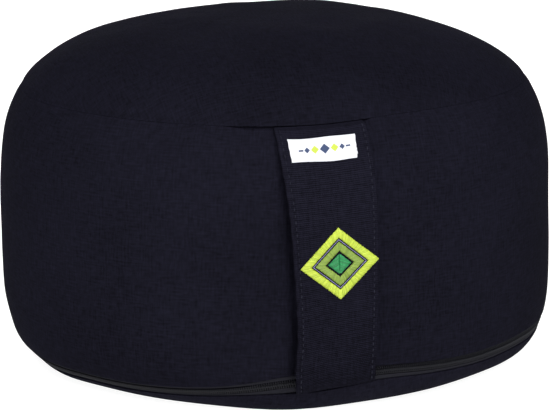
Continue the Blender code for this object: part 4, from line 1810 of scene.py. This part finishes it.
@dataclass
class Zip:
    """The zip in the lower seam."""

    drum: Drum
    floor: float = 2.8 * MM  # the depth of its channel
    coil_half: float = 2.7 * MM  # half the coil's width
    coil_top: float = 0.3 * MM  # the depth of the coil's crown
    coil_up: tuple[Swell, ...] = (  # how far above the middle of its channel the coil runs
        bulge(0.8, 12, 11),
        bulge(1.3, -10, 7),
        bulge(0.6, 35, 25),
    )
    tape_top: float = 0.8 * MM  # the depth of the tapes
    tape_pressed: Swell = bulge(1.4, -1, 6.5)  # how much deeper the lower one is behind the strap
    # How many points a tape has along and across, and how far its middle stands up.
    tape_points: tuple[int, int] = (520, 7)
    tape_crown: float = 0.12 * MM
    seam_radius: float = 155 * MM  # how far from the cushion's middle it runs, which sets its length
    pitch: float = 1.25 * MM  # how far apart the coil's turns are
    wire: float = 0.31 * MM  # the radius of the coil's wire
    lean: float = 0.12  # how far a turn leans to each side, as a share of the pitch
    # The coil's sewing thread: how far out it runs, as a share of half the coil's width, and its radius.
    sewn: Pair = (0.62, 0.13 * MM)
    # How far it swings sideways, how deep its highest places lie and how much deeper its lowest.
    chain: Triple = (0.05 * MM, 0.10 * MM, 0.30 * MM)
    slider_from_end: float = 8.4375 * DEGREE  # the angle from the zip's end to the slider
    slider: Triple = (9.0 * MM, 7.4 * MM, 1.6 * MM)  # the slider's length, width and thickness
    pull: Triple = (19.0 * MM, 5.0 * MM, 1.1 * MM)  # the pull's length, width and thickness
    pull_start: float = -0.65 * MM  # where along the zip it starts, from the slider's middle
    eye: Pair = (0.65 * MM, 3.7 * MM)  # the ends of the pull's eye, along the zip
    # The bridge's wire radius, its span, its rise and how deep its ends are sunk.
    bridge: tuple[float, float, float, float] = (0.6 * MM, 5.4 * MM, 2.8 * MM, 0.5 * MM)
    slider_points: tuple[int, int] = (25, 32)  # how many sections the slider has, and points in each
    slider_boxy: float = 0.32  # how boxy a section is: the lower, the boxier
    # How wide its tail is, as a share of its nose, and how much it gains from there.
    slider_taper: Pair = (0.80, 0.20)
    slider_tips: Pair = (0.3 * MM, 0.15 * MM)  # half its least width and thickness
    # Two powers each for how its width and its thickness run out at its ends.
    slider_ends: tuple[Pair, Pair] = ((8, 0.25), (14, 0.35))
    pull_points: int = 72  # how many points go round the pull
    pull_boxy: float = 0.55  # how boxy its outline is
    # How far the dish in each of its faces is sunk, and half the share of its section that it takes.
    dish: Pair = (0.12 * MM, 0.4)

    def at(self, angle: Array, across: Array, lift: Array | float) -> Array:
        """Places in the channel: an angle, a distance below the coil's middle, and a lift."""
        return self.drum.at(angle, self._middle(angle) + across, lift)

    def _middle(self, angle: Array) -> Array:
        """The distance down to the coil's middle."""
        return self.drum.to_zip(angle) - sum(swell.at(angle) for swell in self.coil_up)

    def _angles(self, count: int) -> Array:
        """Angles from one end of the zip to the other."""
        drum = self.drum
        return np.linspace(drum.zip_middle - drum.zip_reach, drum.zip_middle + drum.zip_reach, count)

    def _turns(self) -> int:
        """How many turns the coil has on each side."""
        return int(2 * self.drum.zip_reach * self.seam_radius / self.pitch)

    def make_tape(self, upper: bool) -> Piece:
        """One of the two tapes.

        Args:
            upper: True for the one above the coil.

        Returns:
            The object.
        """
        count, across_count = self.tape_points
        angle = self._angles(count)[:, None]
        middle = self._middle(angle)
        deep = self.tape_top + (0 if upper else self.tape_pressed.at(angle))
        if upper:
            name = "zip_tape_upper"
            edges = self.drum.to_zip_top(angle) + GAP - middle, -self.coil_half - GAP + 0 * angle
        else:
            name = "zip_tape_lower"
            edges = self.coil_half + GAP + 0 * angle, self.drum.to_zip_foot(angle) - GAP - middle
        share = np.linspace(0, 1, across_count)[None, :]
        across = edges[0] + (edges[1] - edges[0]) * share
        crown = self.tape_crown * np.sin(math.pi * share) - deep
        face, back = self.at(angle, across, crown), self.at(angle, across, GAP - self.floor)
        along = np.broadcast_to(angle * self.drum.waist_radius, across.shape)
        draft = Draft()
        draft.ribbon(face, back, np.stack([along, across], axis=-1))
        made = draft.build(name + "_weave", ZipTape(), SHARP)
        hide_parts(name)
        return made

    def make_coil(self) -> Piece:
        """The coil's turns: each rises at its tape, crosses the middle and hooks down.

        Returns:
            The object.
        """
        count = self._turns()
        angles = self._angles(2 * count)
        high, low = -self.coil_top - self.wire, GAP - self.floor + self.wire
        # Where the wire runs: how far out, as a share of half the coil's width, and how high.
        hook = ((-1.0, low), (-1.02, 0.45 * low + 0.55 * high), (-0.85, high), (-0.4, high + 0.02 * MM))
        hook += ((0.02, high), (0.24, high - 0.22 * MM), (0.26, high - 0.75 * MM))
        across = np.array([place for place, _ in hook]) * (self.coil_half - self.wire)
        lifts = np.array([lift for _, lift in hook])
        draft = Draft()
        shades = chance(2 * count, 31)
        lean = np.linspace(-self.lean, self.lean, len(hook)) * self.pitch / self.seam_radius
        for i, angle in enumerate(angles):
            side = 1 if i % 2 else -1
            path = self.at(angle + lean, side * across, lifts)
            draft.strand(path, UPWARDS, self.wire, sides=5, shade=shades[i])
        made = draft.build("zip_coil_turns", Nylon())
        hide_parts("zip_coil")
        return made

    def make_coil_stitches(self) -> Piece:
        """The chain of thread that sews the coil to each tape.

        Returns:
            The object.
        """
        draft = Draft()
        count = self._turns()
        angle = self._angles(4 * count)
        turn = np.arange(4 * count) * math.pi / 2
        out, radius = self.sewn
        swing, deep, dip = self.chain
        for side in (-1, 1):
            across = side * (out * self.coil_half + swing * np.cos(turn))
            lift = -self.coil_top - deep - dip * (0.5 + 0.5 * np.cos(turn + side))
            path = self.at(angle, across, lift)
            draft.strand(path, UPWARDS, radius, sides=4)
        made = draft.build("zip_coil_stitching", Threads.COIL.value)
        return made

    def _slider_frame(self) -> tuple[Array, Array, Array, Array]:
        """The slider's middle on the form, and the ways along, across and off the zip.

        Returns:
            The point and the three directions.
        """
        drum = self.drum
        angle = drum.zip_middle + drum.zip_reach - self.slider_from_end
        pair = np.array([angle, angle - 1 * DEGREE])
        middle, nearby = drum.at(pair, drum.to_zip(pair))
        lifted = drum.at(pair[:1], drum.to_zip(pair[:1]), 1.0)[0]
        along = unit(middle - nearby)
        off = lifted - middle
        off = unit(off - along * (off @ along))
        return middle, along, np.cross(off, along), off

    def _placed(self, local: Array) -> Array:
        """Turns places along, across and off the zip into points."""
        middle, along, across, off = self._slider_frame()
        return middle + local[..., :1] * along + local[..., 1:2] * across + local[..., 2:] * off

    def make_slider(self) -> Piece:
        """The slider: a plate that is wider at its nose, with an arched bridge.

        Returns:
            The object.
        """
        long, wide, thick = self.slider
        foot = GAP - self.coil_top
        sections, round_count = self.slider_points
        place = np.sin(np.linspace(-math.pi / 2, math.pi / 2, sections))
        nose = 0.5 + 0.5 * np.clip(place, -1, 1)
        tail, gain = self.slider_taper
        full_wide, full_thick = ((1 - np.abs(place) ** late) ** blunt for late, blunt in self.slider_ends)
        half = wide / 2 * (tail + gain * ease(nose)) * full_wide
        tall = thick / 2 * full_thick
        side, rise = boxy_round(round_count, self.slider_boxy)
        half, tall = np.maximum(half, self.slider_tips[0]), np.maximum(tall, self.slider_tips[1])
        body = np.stack(
            np.broadcast_arrays(
                (place * long / 2)[:, None],
                half[:, None] * side[None, :],
                foot + thick / 2 + tall[:, None] * rise[None, :],
            ),
            axis=-1,
        )
        draft = Draft()
        draft.sleeve(self._placed(body))
        radius, span, rise_of, sunk = self.bridge
        bow = np.linspace(0, math.pi, sections)
        arch = np.stack(
            [span / 2 * np.cos(bow), 0 * bow, foot + thick - sunk + rise_of * np.sin(bow)], axis=-1
        )
        path = self._placed(arch)
        draft.strand(path, self._slider_frame()[2], radius, sides=12)
        made = draft.build("zip_slider_body", Enamel(), SHARP)
        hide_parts("zip_slider")
        return made

    def make_pull(self) -> Piece:
        """The pull: a rounded tab with an eye round the bridge.

        Returns:
            The object.
        """
        long, wide, thick = self.pull
        under = GAP - self.coil_top + self.slider[2] + GAP
        x, y = boxy_round(self.pull_points, self.pull_boxy)
        spans = (self.pull_start, self.pull_start + long, wide / 2), (*self.eye, self.bridge[0] + GAP)
        outer, inner = (
            np.stack([(low + high) / 2 + (high - low) / 2 * x, half * y], axis=-1)
            for low, high, half in spans
        )
        # Its section from the outer edge in to the eye: shares of the way, and of its thickness.
        section = ((0.0, 0.5), (0.02, 0.9), (0.07, 1.0), (0.5, 1.0), (0.93, 1.0), (0.98, 0.9), (1.0, 0.5))
        section += tuple((share, 1 - rise) for share, rise in section[-2:0:-1])
        loops = []
        deep, far = self.dish
        for share, rise in section:
            flat = outer + (inner - outer) * share
            dish = deep * ease(np.array(1 - abs(share - 0.5) / far)) * (1 if rise > 0.5 else -1)
            height = under + thick * rise - dish * (abs(share - 0.5) < far)
            loops.append(np.concatenate([flat, np.full((len(x), 1), height)], axis=1))
        draft = Draft()
        draft.sleeve(self._placed(np.array(loops).transpose(1, 0, 2)), ring=True)
        made = draft.build("zip_pull_tab", Enamel(), SHARP)
        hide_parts("zip_pull")
        return made

    def make(self) -> list[Piece]:
        """The whole zip."""
        tapes = [self.make_tape(True), self.make_tape(False)]
        return tapes + [self.make_coil(), self.make_coil_stitches(), self.make_slider(), self.make_pull()]


# ---- the studio


def outwards(azimuth: float, elevation: float) -> Vector:
    """The direction from the cushion at an angle round it and an angle above the floor."""
    level = math.cos(elevation)
    return Vector((math.sin(azimuth) * level, -math.cos(azimuth) * level, math.sin(elevation)))


@dataclass(frozen=True)
class Lamp:
    """A broad, distant lamp."""

    name: str
    azimuth: float  # where it hangs, as an angle round the cushion
    elevation: float  # its angle above the floor
    strength: float  # its power on a square metre that faces it, in watts
    width: float = 35 * DEGREE  # the angle that it fills

    def make(self) -> None:
        """Hangs the lamp, turned towards the cushion."""
        light = bpy.data.lights.new(self.name, "SUN")
        light.energy = self.strength
        light.angle = self.width
        hung = bpy.data.objects.new(self.name, light)
        hung.rotation_euler = outwards(self.azimuth, self.elevation).to_track_quat("Z", "Y").to_euler()
        bpy.context.scene.collection.objects.link(hung)


@dataclass
class Studio:
    """The floor, the light and the camera."""

    floor_half: float = 12.0  # half the floor's width
    floor_drop: float = 0.05 * MM  # how far below the cushion it lies
    sky: float = 0.03  # the brightness of the light from all round
    lamps: tuple[Lamp, ...] = (  # where its light comes from
        Lamp("key", 8 * DEGREE, 38 * DEGREE, 2.80),
        Lamp("top", -45 * DEGREE, 60 * DEGREE, 1.68),
        Lamp("left_edge", -110 * DEGREE, 10 * DEGREE, 0.36),
        Lamp("back_edge", 172 * DEGREE, 10 * DEGREE, 0.62),
    )
    azimuth: float = -11.75 * DEGREE  # the camera's angle round the cushion
    elevation: float = 12.42 * DEGREE  # its angle above the floor
    distance: float = 1.971  # how far from its target it is
    target: Vector = field(default_factory=lambda: Vector((0.0, 0.0, 0.0886)))  # the point that it looks at
    lens: float = 212.7  # its focal length, in millimetres
    sensor: float = 36.0  # its sensor's width, in millimetres
    seen: float = 100.0  # how far away it still sees

    def make_floor(self) -> Piece:
        """The pale table that it stands on, a hair below the cushion.

        Returns:
            The object.
        """
        half, low = self.floor_half, -self.floor_drop
        mesh = bpy.data.meshes.new("floor")
        corners = [(-half, -half, low), (half, -half, low), (half, half, low), (-half, half, low)]
        mesh.from_pydata(corners, [], [(0, 1, 2, 3)])
        mesh.materials.append(LightTable().material())
        floor = bpy.data.objects.new("floor", mesh)
        bpy.context.scene.collection.objects.link(floor)
        return floor

    def light(self) -> None:
        """Lights the room from all round and hangs the lamps."""
        world = bpy.data.worlds.new("studio")
        world.use_nodes = True
        sky = world.node_tree.nodes["Background"]
        sky.inputs["Color"].default_value = (1.0, 1.0, 1.0, 1.0)
        sky.inputs["Strength"].default_value = self.sky
        bpy.context.scene.world = world
        bpy.context.scene.view_settings.view_transform = "Standard"
        for lamp in self.lamps:
            lamp.make()

    def place_camera(self) -> None:
        """Puts the camera where the photograph was taken from."""
        back = outwards(self.azimuth, self.elevation)
        data = bpy.data.cameras.new("camera")
        data.sensor_width = self.sensor
        data.lens = self.lens
        data.clip_end = self.seen
        camera = bpy.data.objects.new("camera", data)
        camera.location = self.target + back * self.distance
        camera.rotation_euler = (-back).to_track_quat("-Z", "Y").to_euler()
        bpy.context.scene.collection.objects.link(camera)
        bpy.context.scene.camera = camera


# ---- all of it


def report(pieces: list[Piece]) -> None:
    """Makes each piece ride on the cushion's body, and logs its size.

    Args:
        pieces: the pieces.
    """
    for piece in pieces:
        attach(piece, BODY)
        piece.data.calc_loop_triangles()
        log.info("%s: %d triangles", piece.name, len(piece.data.loop_triangles))


def main() -> None:
    """Builds the studio and every piece in order."""
    logging.basicConfig(level=logging.INFO, format="%(name)s: %(message)s")
    studio = Studio()
    studio.place_camera()
    studio.make_floor()
    studio.light()
    drum = Drum()
    Filling().push(drum)
    strap = CarryStrap(drum)
    panels = Panels(drum, strap)
    report([panels.make_body(), panels.make_top(), panels.make_under()])
    report([strap.make_band(), strap.make_stitches()])
    label = Label(strap)
    report([label.make_ribbon(), label.make_stitches()])
    report(Embroidery(strap).make())
    report(Zip(drum).make())


if __name__ == "__main__":
    main()
